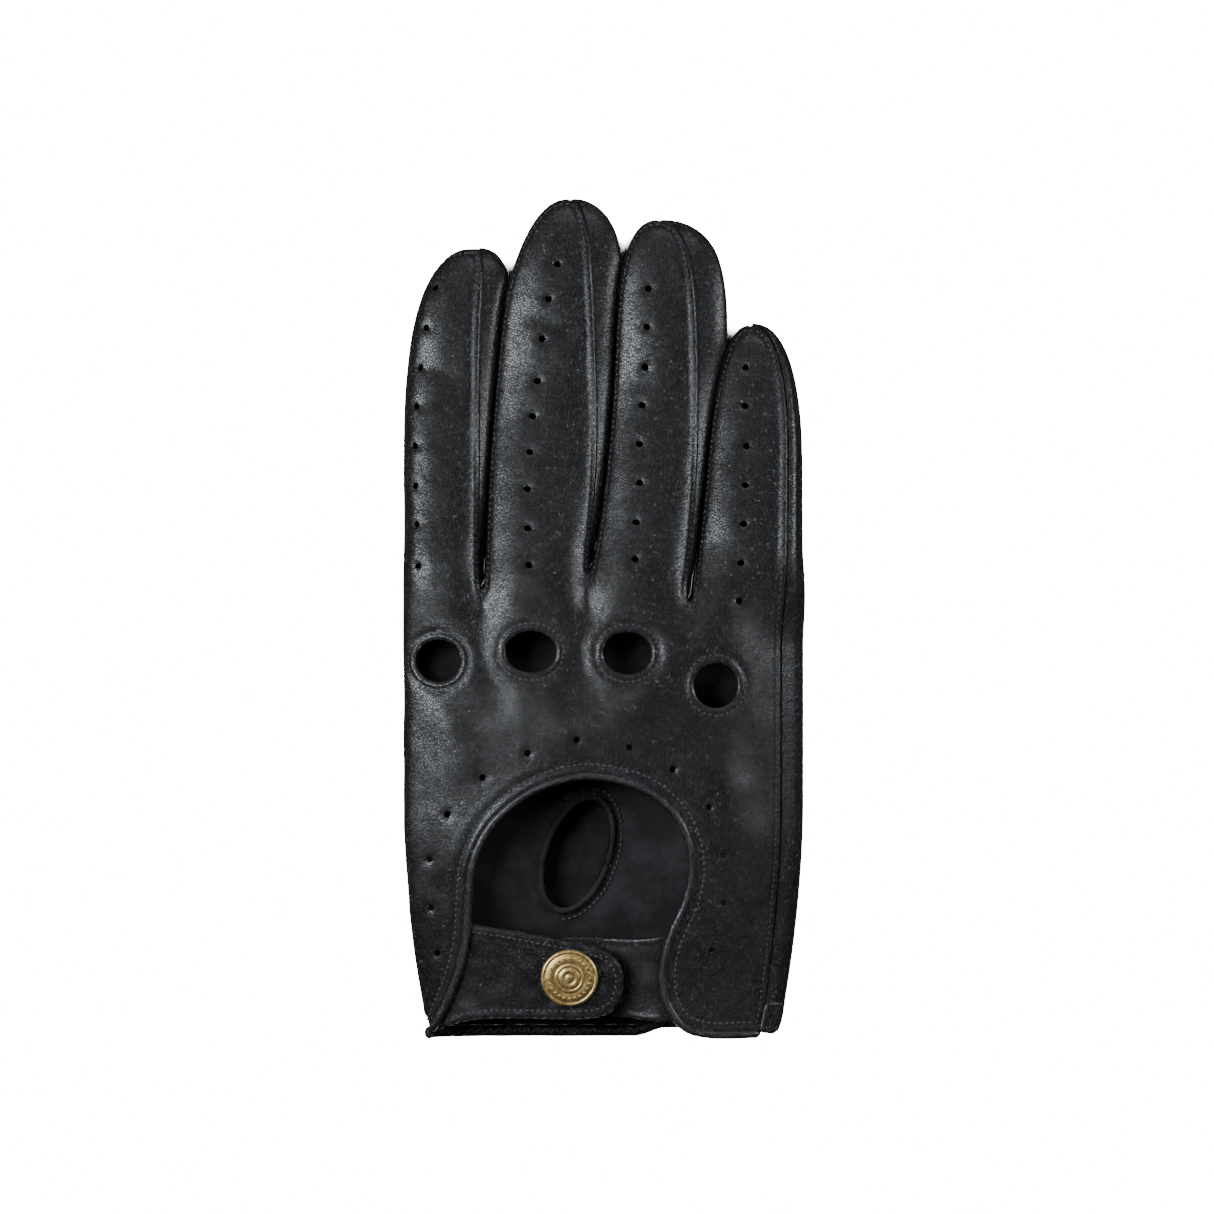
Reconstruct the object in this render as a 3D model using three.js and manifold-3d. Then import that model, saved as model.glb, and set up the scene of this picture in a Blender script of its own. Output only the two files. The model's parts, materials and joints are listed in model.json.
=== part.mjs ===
// A right-hand leather driving glove lying palm down, thumb folded flat under the palm.
// Millimetres, +Z up. While it is modelled, X runs from the index side to the little-finger side,
// Y from the cuff to the fingertips, and Z = 0 is the table. The last lines move the origin to the
// middle of the bounding box's bottom.
import * as THREE from "three";
import { mergeVertices } from "three/addons/utils/BufferGeometryUtils.js";
import Module from "manifold-3d";

const wasm = await Module();
wasm.setup();

// ---- driving dimensions ----------------------------------------------------------------------

const LEATHER = 1.0; // thickness of the glove leather
const CLEARANCE = 0.4; // gap between neighbouring pieces
const ROW_STEP = 6.6; // spacing of the rows that the hand's sheets are built from
const HAND_LENGTH = 118; // cuff edge to the webs between the fingers
const CUFF_EDGE = 1.5; // where the leather starts above the cuff's end
const TAB_END = 11; // Y where the side strip's end tab stops
const CUFF_NARROWING = 6.5; // how much each side of the cuff draws in
const NARROWING_LENGTH = 62; // over this length
const CUFF_HEIGHT = 19.5; // top of the hand at the cuff, above the table
const PALM_HEIGHT = 25.5; // top of the hand over the palm
const WEB_HEIGHT = 24.2; // top of the hand at the finger roots
const DROOP_SHARE = 0.5; // share of that lift lost at the little-finger edge
const DROOP_START = 30; // X where the droop starts
const SECTION_POWER = 2.6; // how square the cross-sections are (2 is an ellipse)
const TABLE_SINK = 0.5; // how much the underside is pressed flat on the table

// Each finger: width at the web, reach of its tip above the web line, sideways shift of the tip,
// length of the rounded end, hinge lines above the web line, and thickness at root and end.
const FINGERS = [
  { name: "index", width: 20.6, reach: 90.4, shift: 9, round: 50, knuckle: 1.6, joint: 38 },
  { name: "middle", width: 27.3, reach: 103.3, shift: 9.4, round: 36, knuckle: 6.6, joint: 45 },
  { name: "ring", width: 27.1, reach: 97.8, shift: 5.4, round: 36, knuckle: 6.6, joint: 43 },
  { name: "little", width: 29.6, reach: 70, shift: 1.3, round: 38, knuckle: -1.8, joint: 28 },
];
const FINGER_ROOT_THICKNESS = 16;
const FINGER_END_THICKNESS = 13;
const FINGER_SPACING = 1.0; // gap between neighbouring fingers
const HINGE_GAP = 0.7; // gap in the leather at each finger hinge
const TIP_POWER = 2.4; // how blunt the fingertips are
const TIP_OPENING = 0.2; // the sheets stop where the section has shrunk to this share
// The lines between the fingers lean and curl as they rise: x shift = lean h + curl h^2.
const EDGES = [
  { lean: 0, curl: 0 },
  { lean: 0.012, curl: 0.00072 },
  { lean: 0.176, curl: -0.00109 },
  { lean: 0.136, curl: -0.00058 },
  { lean: 0, curl: 0 },
];
const WEBS = [0.4, 5.4, -3]; // height of each web above the web line
const WEB_RADIUS = 1.7; // half the slot between two finger backs

// Where the seams run round a cross-section, in degrees: 0 is the little-finger side, 90 the top.
const BACK_SEAM = 38;
const OUTER_SEAM = 22;
const THUMB_SIDE_FOLD = 200;
const LEFT_BACK_SEAM = 172;
const LEFT_PALM_SEAM = 216;
const RIGHT_PALM_SEAM = 324;
const SEAM_GAP = 2.5; // degrees left open at each seam

const KNUCKLE_HOLES = [
  { x: -43.2, y: 99.4 },
  { x: -19, y: 101.8 },
  { x: 5.6, y: 101.8 },
  { x: 29.1, y: 92.8 },
];
const KNUCKLE_RADIUS = 6.5;
const FACING_WIDTH = 3;
const FACING_THICKNESS = 0.6;

// Centre line of the bound edge: from the cuff's right end, up round the keyhole, to its left end.
const KEYHOLE = [
  [39, 2.6], [28, 2.4], [21.4, 4], [17, 9], [15.6, 15], [16, 21.5], [18, 28.4],
  [21.6, 36.5], [23.2, 45], [21.8, 53.4], [17.2, 61.2], [8.6, 67], [-3.7, 69.4],
  [-14, 67.4], [-22.8, 62.8], [-30, 55.6], [-34.2, 46.5], [-35.3, 37], [-35.8, 28.5],
  [-37.4, 20], [-40, 12.4], [-43, 6.4],
];
const BINDING_RADIUS = 1.0;
const BINDING_STEPS = 72;
const HEM_RADIUS = 0.9;

const STRAP = { rootTop: 30, rootBottom: 6.2, endTop: 23.4, endBottom: 7.2, tip: 5.6, endRadius: 8.1 };
const STRAP_ROOT_X = -33.6; // free edge of the strap starts here, clear of the binding
const STRAP_SLANT = 0.3; // the root line leans this much in X for each millimetre of Y
const STRAP_LAYER = 0.9; // thickness of the strap's face and of its lining
const STRAP_SINK = 1.3; // strap's face below the top of the back leather
const UNDERLAP = { left: -19, right: 24, bottom: 6, top: 27, thickness: 1.1, dip: 6 };
const SNAP = { x: -8.9, y: 16.6, capRadius: 7.5, capHeight: 2.4, socketRadius: 5.6 };
const STUD_RADIUS = 2.6;
const STUD_CLEARANCE = 0.35;
const ELASTIC = { y: 14, width: 8, thickness: 0.7, from: 212, to: 318 };

const THUMB = {
  base: [-12, 32], angle: 20, length: 74, rootWidth: 30, endWidth: 25,
  thickness: 7.9, rootRound: 14, endRound: 20,
};
const THUMB_POWER = 4;
const THUMB_ROOM = 0.3; // gap between the folded thumb and the palm over it
const PALM_LIFT = THUMB.thickness + THUMB_ROOM; // the thumb holds the palm this far off the table
const THUMB_HOLE = { x: -10, y: 50, rx: 9, ry: 16 };
const THUMB_MOUTH_INSET = 2;

const COLOURS = {
  leather: { color: 0x1d1f22, roughness: 0.5, metalness: 0 },
  lining: { color: 0x141416, roughness: 0.85, metalness: 0 },
  brass: { color: 0xa98a4e, roughness: 0.4, metalness: 0.9 },
  steel: { color: 0x8b8c8e, roughness: 0.35, metalness: 0.9 },
  elastic: { color: 0x0f0f10, roughness: 0.95, metalness: 0 },
};

// ---- the glove's form ------------------------------------------------------------------------

const radians = THREE.MathUtils.degToRad;
const smooth = (from, to, x) => THREE.MathUtils.smoothstep(x, from, to);
const mix = THREE.MathUtils.lerp;

const handWidth = FINGERS.reduce((sum, f) => sum + f.width, 0);
// X of each line between fingers at the web line, from the index edge to the little-finger edge.
const edgeX = FINGERS.reduce((xs, f) => [...xs, xs[xs.length - 1] + f.width], [-handWidth / 2]);

// The thumb's bulge lifts the underside between the cuff and the finger joints.
function lift(y) {
  const up = smooth(8, 40, y);
  const down = 1 - smooth(HAND_LENGTH - 6, HAND_LENGTH + 62, y);
  return PALM_LIFT * up * down;
}

function droop(x, y) {
  return -lift(y) * DROOP_SHARE * smooth(DROOP_START, handWidth / 2, x);
}

// Cross-section of the hand at y: half width, half height and middle height.
function handSection(y) {
  const inward = Math.max(0, 1 - y / NARROWING_LENGTH);
  const top = mix(mix(CUFF_HEIGHT, PALM_HEIGHT, smooth(0, 60, y)), WEB_HEIGHT, smooth(80, HAND_LENGTH, y));
  const bottom = lift(y) - TABLE_SINK;
  const a = handWidth / 2 - CUFF_NARROWING * inward ** 1.8;
  return { x: 0, z: (top + bottom) / 2, a, b: (top - bottom) / 2 };
}

// X of the line left of finger number i, or right of the last finger, at height y.
function edge(i, y) {
  const h = Math.max(0, y - HAND_LENGTH);
  return edgeX[i] + EDGES[i].lean * h + EDGES[i].curl * h * h;
}

// Cross-section of finger i at y.
function fingerSection(i, y) {
  const f = FINGERS[i];
  const h = y - HAND_LENGTH;
  const outerLeft = i === 0 ? 0 : FINGER_SPACING / 2;
  const outerRight = i === FINGERS.length - 1 ? 0 : FINGER_SPACING / 2;
  const tipX = (edgeX[i] + edgeX[i + 1]) / 2 + f.shift;
  const rise = THREE.MathUtils.clamp((h - (f.reach - f.round)) / f.round, 0, 1);
  const share = Math.max(TIP_OPENING, (1 - rise ** TIP_POWER) ** (1 / TIP_POWER));
  const left = tipX + (edge(i, y) + outerLeft - tipX) * share;
  const right = tipX + (edge(i + 1, y) - outerRight - tipX) * share;
  const thickness = mix(FINGER_ROOT_THICKNESS, FINGER_END_THICKNESS, h / f.reach);
  const b = (thickness / 2) * share ** 0.6;
  const x = (left + right) / 2;
  const z = lift(y) + droop(x, y) - TABLE_SINK + thickness / 2 - (thickness / 2 - b) * 0.6;
  return { x, z, a: (right - left) / 2, b };
}

// The Y where finger i's sheets stop, just short of its tip.
function fingerEnd(i) {
  const f = FINGERS[i];
  const rise = (1 - TIP_OPENING ** TIP_POWER) ** (1 / TIP_POWER);
  return HAND_LENGTH + f.reach - f.round * (1 - rise);
}

// The point of a cross-section at an angle, pressed flat where it meets the table.
function around(section, y, degrees, power = SECTION_POWER) {
  const c = Math.cos(radians(degrees));
  const s = Math.sin(radians(degrees));
  const x = section.x + section.a * Math.sign(c) * Math.abs(c) ** (2 / power);
  const z = section.z + section.b * Math.sign(s) * Math.abs(s) ** (2 / power);
  return new THREE.Vector3(x, y, Math.max(0, z));
}

function handPoint(y, degrees) {
  const p = around(handSection(y), y, degrees);
  p.z = Math.max(0, p.z + droop(p.x, y));
  return p;
}

// Height of the top of the hand over a point of the table.
function handTop(x, y) {
  const s = handSection(y);
  const across = Math.min(0.98, Math.abs(x / s.a));
  return s.z + s.b * (1 - across ** SECTION_POWER) ** (1 / SECTION_POWER) + droop(x, y);
}

// Height of the underside of the hand over a point of the table.
function handBottom(x, y) {
  const s = handSection(y);
  const across = Math.min(0.98, Math.abs(x / s.a));
  return Math.max(0, s.z - s.b * (1 - across ** SECTION_POWER) ** (1 / SECTION_POWER) + droop(x, y));
}

// ---- solids ----------------------------------------------------------------------------------

// A closed sheet whose outer face is surface(u, v), with u turning towards the index side and v
// rising. ring joins u = 1 to u = 0.
function sheet(surface, nu, nv, thickness, { ring = false, depth = 0 } = {}) {
  const step = 1e-3;
  const rows = nu + (ring ? 0 : 1);
  const points = [];
  const at = (u, v) => surface(ring ? (u + 1) % 1 : THREE.MathUtils.clamp(u, 0, 1), v);
  for (const inward of [depth, depth + thickness]) {
    for (let j = 0; j <= nv; j++) {
      for (let i = 0; i < rows; i++) {
        const [u, v] = [i / nu, j / nv];
        const across = at(u + step, v).sub(at(u - step, v));
        const along = at(u, Math.min(1, v + step)).sub(at(u, Math.max(0, v - step)));
        const normal = along.cross(across).normalize();
        points.push(at(u, v).addScaledVector(normal, -inward));
      }
    }
  }
  const layer = rows * (nv + 1);
  const id = (i, j, inner) => (i % rows) + j * rows + (inner ? layer : 0);
  const faces = [];
  const quad = (a, b, c, d) => faces.push(a, b, c, a, c, d);
  for (let j = 0; j < nv; j++) {
    for (let i = 0; i < nu; i++) {
      quad(id(i, j), id(i, j + 1), id(i + 1, j + 1), id(i + 1, j));
      quad(id(i, j, 1), id(i + 1, j, 1), id(i + 1, j + 1, 1), id(i, j + 1, 1));
    }
    if (!ring) {
      quad(id(0, j), id(0, j, 1), id(0, j + 1, 1), id(0, j + 1));
      quad(id(nu, j), id(nu, j + 1), id(nu, j + 1, 1), id(nu, j, 1));
    }
  }
  for (let i = 0; i < nu; i++) {
    quad(id(i, 0), id(i + 1, 0), id(i + 1, 0, 1), id(i, 0, 1));
    quad(id(i, nv), id(i, nv, 1), id(i + 1, nv, 1), id(i + 1, nv));
  }
  const geometry = new THREE.BufferGeometry().setFromPoints(points);
  geometry.setIndex(faces);
  return geometry;
}

function toManifold(geometry) {
  const bare = geometry.clone();
  bare.deleteAttribute("normal");
  bare.deleteAttribute("uv");
  const merged = mergeVertices(bare, 1e-4);
  return new wasm.Manifold(new wasm.Mesh({
    numProp: 3,
    vertProperties: Float32Array.from(merged.attributes.position.array),
    triVerts: Uint32Array.from(merged.index.array),
  }));
}

function toGeometry(solid) {
  const { vertProperties, triVerts } = solid.getMesh();
  const geometry = new THREE.BufferGeometry();
  geometry.setAttribute("position", new THREE.BufferAttribute(Float32Array.from(vertProperties), 3));
  geometry.setIndex(new THREE.BufferAttribute(Uint32Array.from(triVerts), 1));
  return geometry;
}

function cut(geometry, ...tools) {
  return toGeometry(tools.reduce((solid, tool) => solid.subtract(toManifold(tool)), toManifold(geometry)));
}

// Upright prism of a flat outline, from z = low to z = high.
function prism(outline, low, high) {
  const shape = new THREE.Shape(outline.map(([x, y]) => new THREE.Vector2(x, y)));
  return new THREE.ExtrudeGeometry(shape, { depth: high - low, bevelEnabled: false }).translate(0, 0, low);
}

function block(x0, x1, y0, y1, z0 = -10, z1 = 60) {
  const box = new THREE.BoxGeometry(x1 - x0, y1 - y0, z1 - z0);
  return box.translate((x0 + x1) / 2, (y0 + y1) / 2, (z0 + z1) / 2);
}

// Upright cylinder or oval that cuts through the top or the underside of the hand.
function plug(x, y, rx, ry, low, high, sides = 24) {
  return new THREE.CylinderGeometry(1, 1, high - low, sides)
    .rotateX(Math.PI / 2)
    .scale(rx, ry, 1)
    .translate(x, y, (low + high) / 2);
}

const part = new THREE.Group();

function add(name, geometry, finish = "leather", parent = part) {
  const mesh = new THREE.Mesh(geometry, new THREE.MeshStandardMaterial(COLOURS[finish]));
  mesh.name = name;
  parent.add(mesh);
  return mesh;
}

// ---- hand ------------------------------------------------------------------------------------

const knuckleY = FINGERS.map((f) => HAND_LENGTH + f.knuckle);
const jointY = FINGERS.map((f) => HAND_LENGTH + f.joint);
const handFront = Math.max(...knuckleY);

const middleHeight = handSection(60).z; // cutters for one side of the hand stop here
const rows = (step) => Math.round((handFront - CUFF_EDGE) / step);

function handSheet(from, to, nu, nv, options = {}) {
  const y0 = options.y0 ?? CUFF_EDGE;
  const y1 = options.y1 ?? handFront - HINGE_GAP / 2;
  const surface = (u, v) => handPoint(mix(y0, y1, v), mix(from, to, u));
  return sheet(surface, nu, nv, options.thickness ?? LEATHER, options);
}

// What the finger roots and the slots between them take away from the hand's sheets.
function rootCuts() {
  const fronts = FINGERS.map((f, i) => {
    const left = edgeX[i] - 4 * (i === 0);
    const right = edge(i + 1, knuckleY[i]) + 4 * (i === 3);
    return block(left, right, knuckleY[i] - HINGE_GAP / 2, handFront + 9);
  });
  const slots = WEBS.map((web, i) => {
    const y = HAND_LENGTH + web;
    const x = edge(i + 1, y);
    return block(x - WEB_RADIUS, x + WEB_RADIUS, y, handFront + 9);
  });
  return [...fronts, ...slots];
}

// The bound edge's line, and the same line moved away from the opening.
const keyholePoints = KEYHOLE.map(([x, y]) => new THREE.Vector3(x, y, 0));
const keyholeCurve = new THREE.CatmullRomCurve3(keyholePoints, false, "centripetal");

function keyholeOutline(distance) {
  return keyholeCurve.getSpacedPoints(BINDING_STEPS).map((p, i) => {
    const along = keyholeCurve.getTangentAt(i / BINDING_STEPS);
    return [p.x + along.y * distance, p.y - along.x * distance];
  });
}

function backPanel() {
  const rim = keyholeOutline(BINDING_RADIUS + 1.5 * CLEARANCE);
  const end = rim[rim.length - 1];
  const outline = [[rim[0][0], -9], ...rim, [end[0] - 6, end[1] - 4], [end[0] - 6, -9]];
  const holes = KNUCKLE_HOLES.map((h) =>
    plug(h.x, h.y, KNUCKLE_RADIUS, KNUCKLE_RADIUS, middleHeight, 60));
  const clearOf = BINDING_RADIUS + 1.5 * CLEARANCE;
  const clearCuff = block(KEYHOLE[0][0] - 1, handWidth, -9, KEYHOLE[0][1] + clearOf);
  const whole = handSheet(OUTER_SEAM, THUMB_SIDE_FOLD, 30, rows(5));
  return cut(whole, prism(outline, handSection(0).z, 60), clearCuff, ...holes, ...rootCuts());
}

function palmPanel() {
  const { x, y, rx, ry } = THUMB_HOLE;
  const whole = handSheet(THUMB_SIDE_FOLD + SEAM_GAP, 360 - OUTER_SEAM, 22, rows(ROW_STEP));
  return cut(whole, plug(x, y, rx, ry, -1, middleHeight), ...rootCuts());
}

add("back_panel", backPanel());
add("palm_panel", palmPanel());
const [stripFrom, stripTo] = [-OUTER_SEAM + SEAM_GAP, OUTER_SEAM - SEAM_GAP];
const strip = { y0: TAB_END + 2.5 * CLEARANCE, y1: knuckleY[3] - HINGE_GAP / 2 };
add("outer_side_strip", handSheet(stripFrom, stripTo, 4, rows(ROW_STEP), strip));
add("side_strip_tab", handSheet(stripFrom, stripTo, 4, 2, { y0: CUFF_EDGE, y1: TAB_END }));

// Rolled edge round the keyhole, lying in the gap left by the back panel.
const onBack = (p) => new THREE.Vector3(p.x, p.y, handTop(p.x, p.y) - LEATHER / 2);
const bindingPath = new THREE.CatmullRomCurve3(keyholeCurve.getSpacedPoints(BINDING_STEPS).map(onBack));

function tubeAlong(path, radius, steps, sides = 8) {
  const section = new THREE.Shape(new THREE.EllipseCurve(0, 0, radius, radius).getPoints(sides).slice(1));
  return new THREE.ExtrudeGeometry(section, { extrudePath: path, steps, bevelEnabled: false });
}

add("keyhole_binding", tubeAlong(bindingPath, BINDING_RADIUS, BINDING_STEPS));

// Turned hem along the palm side of the cuff, in front of the palm panel's edge.
const hemY = CUFF_EDGE - CLEARANCE - HEM_RADIUS;
const hemPath = new THREE.CatmullRomCurve3(
  Array.from({ length: 25 }, (_, i) => {
    const p = handPoint(CUFF_EDGE, mix(THUMB_SIDE_FOLD - 12, 360 - OUTER_SEAM, i / 24));
    return new THREE.Vector3(p.x, hemY, Math.max(HEM_RADIUS, p.z + (p.z < 5 ? LEATHER / 2 : 0)));
  }));
add("cuff_hem", tubeAlong(hemPath, HEM_RADIUS, 40));

// Facings under the knuckle holes.
KNUCKLE_HOLES.forEach((hole, i) => {
  const inner = KNUCKLE_RADIUS + 0.1;
  const surface = (u, v) => {
    const angle = -2 * Math.PI * u;
    const r = mix(inner + FACING_WIDTH, inner, v);
    const x = hole.x + r * Math.cos(angle);
    const y = hole.y + r * Math.sin(angle);
    return new THREE.Vector3(x, y, handTop(x, y));
  };
  const ring = sheet(surface, 24, 1, FACING_THICKNESS, { ring: true, depth: LEATHER + CLEARANCE });
  const beyondEdge = block(-handWidth, edgeX[0] + 2.2, 0, 200);
  add(`knuckle_facing_${FINGERS[i].name}`, i === 0 ? cut(ring, beyondEdge) : ring, "lining");
});

// Webs: the bends that join the side strips of neighbouring fingers at the bottom of each slot.
WEBS.forEach((web, i) => {
  const y = HAND_LENGTH + web;
  const x = edge(i + 1, y);
  const low = handBottom(x, y - WEB_RADIUS) + LEATHER + 3 * CLEARANCE;
  const high = handTop(x, y) - LEATHER - 3 * CLEARANCE;
  const bend = new THREE.Shape();
  bend.absarc(0, 0, WEB_RADIUS + LEATHER, Math.PI, 2 * Math.PI);
  bend.absarc(0, 0, WEB_RADIUS, 2 * Math.PI, Math.PI, true);
  const depth = high - low;
  const wall = new THREE.ExtrudeGeometry(bend, { depth, bevelEnabled: false, curveSegments: 8 });
  add(`web_${FINGERS[i].name}_${FINGERS[i + 1].name}`, wall.translate(x, y, low));
});

// Elastic tape sewn inside the palm side of the cuff.
const tape = {
  y0: ELASTIC.y, y1: ELASTIC.y + ELASTIC.width, thickness: ELASTIC.thickness, depth: LEATHER + CLEARANCE,
};
add("wrist_elastic", handSheet(ELASTIC.from, ELASTIC.to, 14, 2, tape), "elastic");

// ---- strap and press stud --------------------------------------------------------------------

const rootX = (y) => STRAP_ROOT_X + STRAP_SLANT * (y - STRAP.rootTop);

// Half outline of the strap: its upper and lower edges at X, rounded at the free end.
function strapEdge(x, high) {
  const along = (x - STRAP_ROOT_X) / (STRAP.tip - STRAP_ROOT_X);
  const middle = mix(STRAP.rootTop + STRAP.rootBottom, STRAP.endTop + STRAP.endBottom, along) / 2;
  const half = mix(STRAP.rootTop - STRAP.rootBottom, STRAP.endTop - STRAP.endBottom, along) / 2;
  const into = Math.max(0, (x - (STRAP.tip - STRAP.endRadius)) / STRAP.endRadius);
  return middle + (high ? 1 : -1) * half * Math.sqrt(Math.max(0.04, 1 - into * into));
}

function strapLayer(depth, thickness) {
  const surface = (u, v) => {
    const bulge = Math.sin((1 - u) * Math.PI / 2);
    const x0 = mix(STRAP_ROOT_X, STRAP.tip, bulge);
    const y = mix(strapEdge(x0, false), strapEdge(x0, true), v);
    const x = x0 + (rootX(y) - STRAP_ROOT_X) * u;
    return new THREE.Vector3(x, y, handTop(x, y));
  };
  return sheet(surface, 16, 6, thickness, { depth });
}

// The four metal pieces of the press stud share one axis, square to the strap where it sits.
const snap = new THREE.Group();
const slope = (dx, dy) => (handTop(SNAP.x + dx, SNAP.y + dy) - handTop(SNAP.x - dx, SNAP.y - dy)) / 2;
const snapNormal = new THREE.Vector3(-slope(1, 0), -slope(0, 1), 1).normalize();
snap.position.set(SNAP.x, SNAP.y, handTop(SNAP.x, SNAP.y));
snap.quaternion.setFromUnitVectors(new THREE.Vector3(0, 0, 1), snapNormal);
snap.updateMatrix();
part.add(snap);

// A hole for the rivet, through every layer at the snap.
const rivetHole = (radius) => plug(0, 0, radius, radius, -14, 6, 16).applyMatrix4(snap.matrix);
const RIVET_RADIUS = 1.6;
const liningDepth = STRAP_SINK + STRAP_LAYER + CLEARANCE;
const rivetWay = rivetHole(RIVET_RADIUS + CLEARANCE);
add("strap_face", cut(strapLayer(STRAP_SINK, STRAP_LAYER), rivetWay));
add("strap_lining", cut(strapLayer(liningDepth, STRAP_LAYER), rivetWay), "lining");

// The underlap comes from under the right side of the keyhole and dips below the press stud.
const underlapSink = BINDING_RADIUS + LEATHER / 2 + CLEARANCE;
function underlapPoint(x, y) {
  const dip = UNDERLAP.dip * (1 - smooth(SNAP.x + SNAP.socketRadius + 2, UNDERLAP.right - 8, x));
  return new THREE.Vector3(x, y, handTop(x, y) - underlapSink - dip);
}
const underlap = sheet(
  (u, v) => underlapPoint(mix(UNDERLAP.right, UNDERLAP.left, u), mix(UNDERLAP.bottom, UNDERLAP.top, v)),
  16, 6, UNDERLAP.thickness);
add("underlap", cut(underlap, rivetWay));

function lathe(profile, segments = 28) {
  const points = profile.map(([r, z]) => new THREE.Vector2(r, z));
  return new THREE.LatheGeometry([...points, points[0].clone()], segments).rotateX(Math.PI / 2);
}

const capBase = -STRAP_SINK + CLEARANCE;
const strapUnder = -(liningDepth + STRAP_LAYER);
const capTop = capBase + SNAP.capHeight;
const rivetEnd = strapUnder - CLEARANCE - 0.4;
add("snap_cap", lathe([
  [0, rivetEnd], [RIVET_RADIUS, rivetEnd], [RIVET_RADIUS, capBase], [SNAP.capRadius - 0.3, capBase],
  [SNAP.capRadius, capBase + 0.5], [SNAP.capRadius - 0.6, capTop - 0.8],
  [SNAP.capRadius - 2.6, capTop - 0.2], [0, capTop],
]), "brass", snap);

const studTop = rivetEnd - 2 * CLEARANCE;
const socketTop = strapUnder - CLEARANCE;
const socketFloor = socketTop - 2.6;
const socketMouth = STUD_RADIUS + STUD_CLEARANCE;
const seat = RIVET_RADIUS + CLEARANCE;
add("snap_socket", lathe([
  [seat, socketTop], [SNAP.socketRadius, socketTop], [SNAP.socketRadius, socketTop - 0.6],
  [socketMouth + 1.2, socketFloor], [socketMouth, socketFloor], [socketMouth, socketTop - 0.9],
  [seat, socketTop - 0.9],
].reverse()), "steel", snap);

const underlapTop = -(underlapSink + UNDERLAP.dip);
const flangeTop = underlapTop + CLEARANCE + 0.5;
const postEnd = underlapTop - UNDERLAP.thickness - CLEARANCE;
const BARREL = 0.8; // hollow of the stud that takes the post
add("snap_stud", lathe([
  [BARREL, underlapTop - 0.6], [RIVET_RADIUS, underlapTop - 0.6], [RIVET_RADIUS, flangeTop - 0.5],
  [SNAP.socketRadius - 0.4, flangeTop - 0.5], [SNAP.socketRadius - 0.4, flangeTop],
  [STUD_RADIUS - 0.4, flangeTop],
  [STUD_RADIUS, studTop - 0.9], [STUD_RADIUS - 0.3, studTop - 0.1], [BARREL, studTop - 0.1],
]), "steel", snap);
add("snap_post", lathe([
  [0, postEnd - 0.7], [SNAP.socketRadius - 1, postEnd - 0.7], [SNAP.socketRadius - 0.8, postEnd],
  [BARREL - 0.2, postEnd], [BARREL - 0.2, studTop - 0.5], [0, studTop - 0.5],
]), "steel", snap);

// ---- fingers ---------------------------------------------------------------------------------

// A strip of finger i between two hinge lines and two seam angles.
function fingerSheet(i, from, to, y0, y1, nu, nv) {
  const ends = y1 === fingerEnd(i);
  const surface = (u, v) => {
    const y = mix(y0, y1, ends ? 1 - (1 - v) ** 1.7 : v);
    return around(fingerSection(i, y), y, mix(from, to, u));
  };
  return sheet(surface, nu, nv, LEATHER);
}

FINGERS.forEach((finger, i) => {
  const first = i === 0;
  const last = i === FINGERS.length - 1;
  const rightSeam = last ? OUTER_SEAM + 4 : BACK_SEAM;
  const leftSeam = first ? THUMB_SIDE_FOLD : LEFT_BACK_SEAM;
  const palmFrom = first ? THUMB_SIDE_FOLD : LEFT_PALM_SEAM;
  const gap = SEAM_GAP * 1.6;
  const spans = [
    ["lower", knuckleY[i] + HINGE_GAP / 2, jointY[i] - HINGE_GAP / 2, 4],
    ["upper", jointY[i] + HINGE_GAP / 2, fingerEnd(i), 8],
  ];
  for (const [half, y0, y1, count] of spans) {
    const panel = (name, from, to, nu) =>
      add(`${finger.name}_${half}_${name}`, fingerSheet(i, from, to, y0, y1, nu, count));
    panel("back", rightSeam, leftSeam, 8);
    panel("palm", palmFrom + gap, RIGHT_PALM_SEAM, 6);
    panel(last ? "side_strip" : "right_fourchette", RIGHT_PALM_SEAM - 360 + gap, rightSeam - gap, 4);
    if (!first) panel("left_fourchette", leftSeam + gap, palmFrom, 3);
  }
});

// ---- thumb -----------------------------------------------------------------------------------

// Two half shells, flattened between the palm and the table, with a mouth under the palm's hole.
function thumbShell(from, to) {
  const direction = new THREE.Vector3(Math.sin(radians(THUMB.angle)), Math.cos(radians(THUMB.angle)), 0);
  const sideways = new THREE.Vector3(direction.y, -direction.x, 0);
  const surface = (u, v) => {
    const s = THUMB.length * (1 - Math.cos(v * Math.PI)) / 2;
    const rootRise = THREE.MathUtils.clamp(1 - s / THUMB.rootRound, 0, 1);
    const endRise = THREE.MathUtils.clamp(1 - (THUMB.length - s) / THUMB.endRound, 0, 1);
    const share = Math.max(TIP_OPENING, Math.sqrt(1 - Math.max(rootRise, endRise) ** 2));
    const half = mix(THUMB.rootWidth, THUMB.endWidth, s / THUMB.length) / 2;
    const degrees = mix(from, to, u);
    const flat = around({ x: 0, z: 0, a: half * share, b: THUMB.thickness / 2 }, 0, degrees, THUMB_POWER);
    const tall = Math.sin(radians(degrees));
    const b = (THUMB.thickness / 2) * share ** 0.5;
    const rise = b * Math.sign(tall) * Math.abs(tall) ** (2 / THUMB_POWER);
    const z = Math.max(0, THUMB.thickness / 2 - TABLE_SINK + rise);
    return new THREE.Vector3(THUMB.base[0], THUMB.base[1], z)
      .addScaledVector(direction, s)
      .addScaledVector(sideways, flat.x);
  };
  return sheet(surface, 10, 16, LEATHER);
}
const mouthSize = [THUMB_HOLE.rx - THUMB_MOUTH_INSET, THUMB_HOLE.ry - THUMB_MOUTH_INSET];
const mouth = plug(THUMB_HOLE.x, THUMB_HOLE.y, ...mouthSize, THUMB.thickness / 2, 20);
const THUMB_SEAM_GAP = 6;
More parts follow.
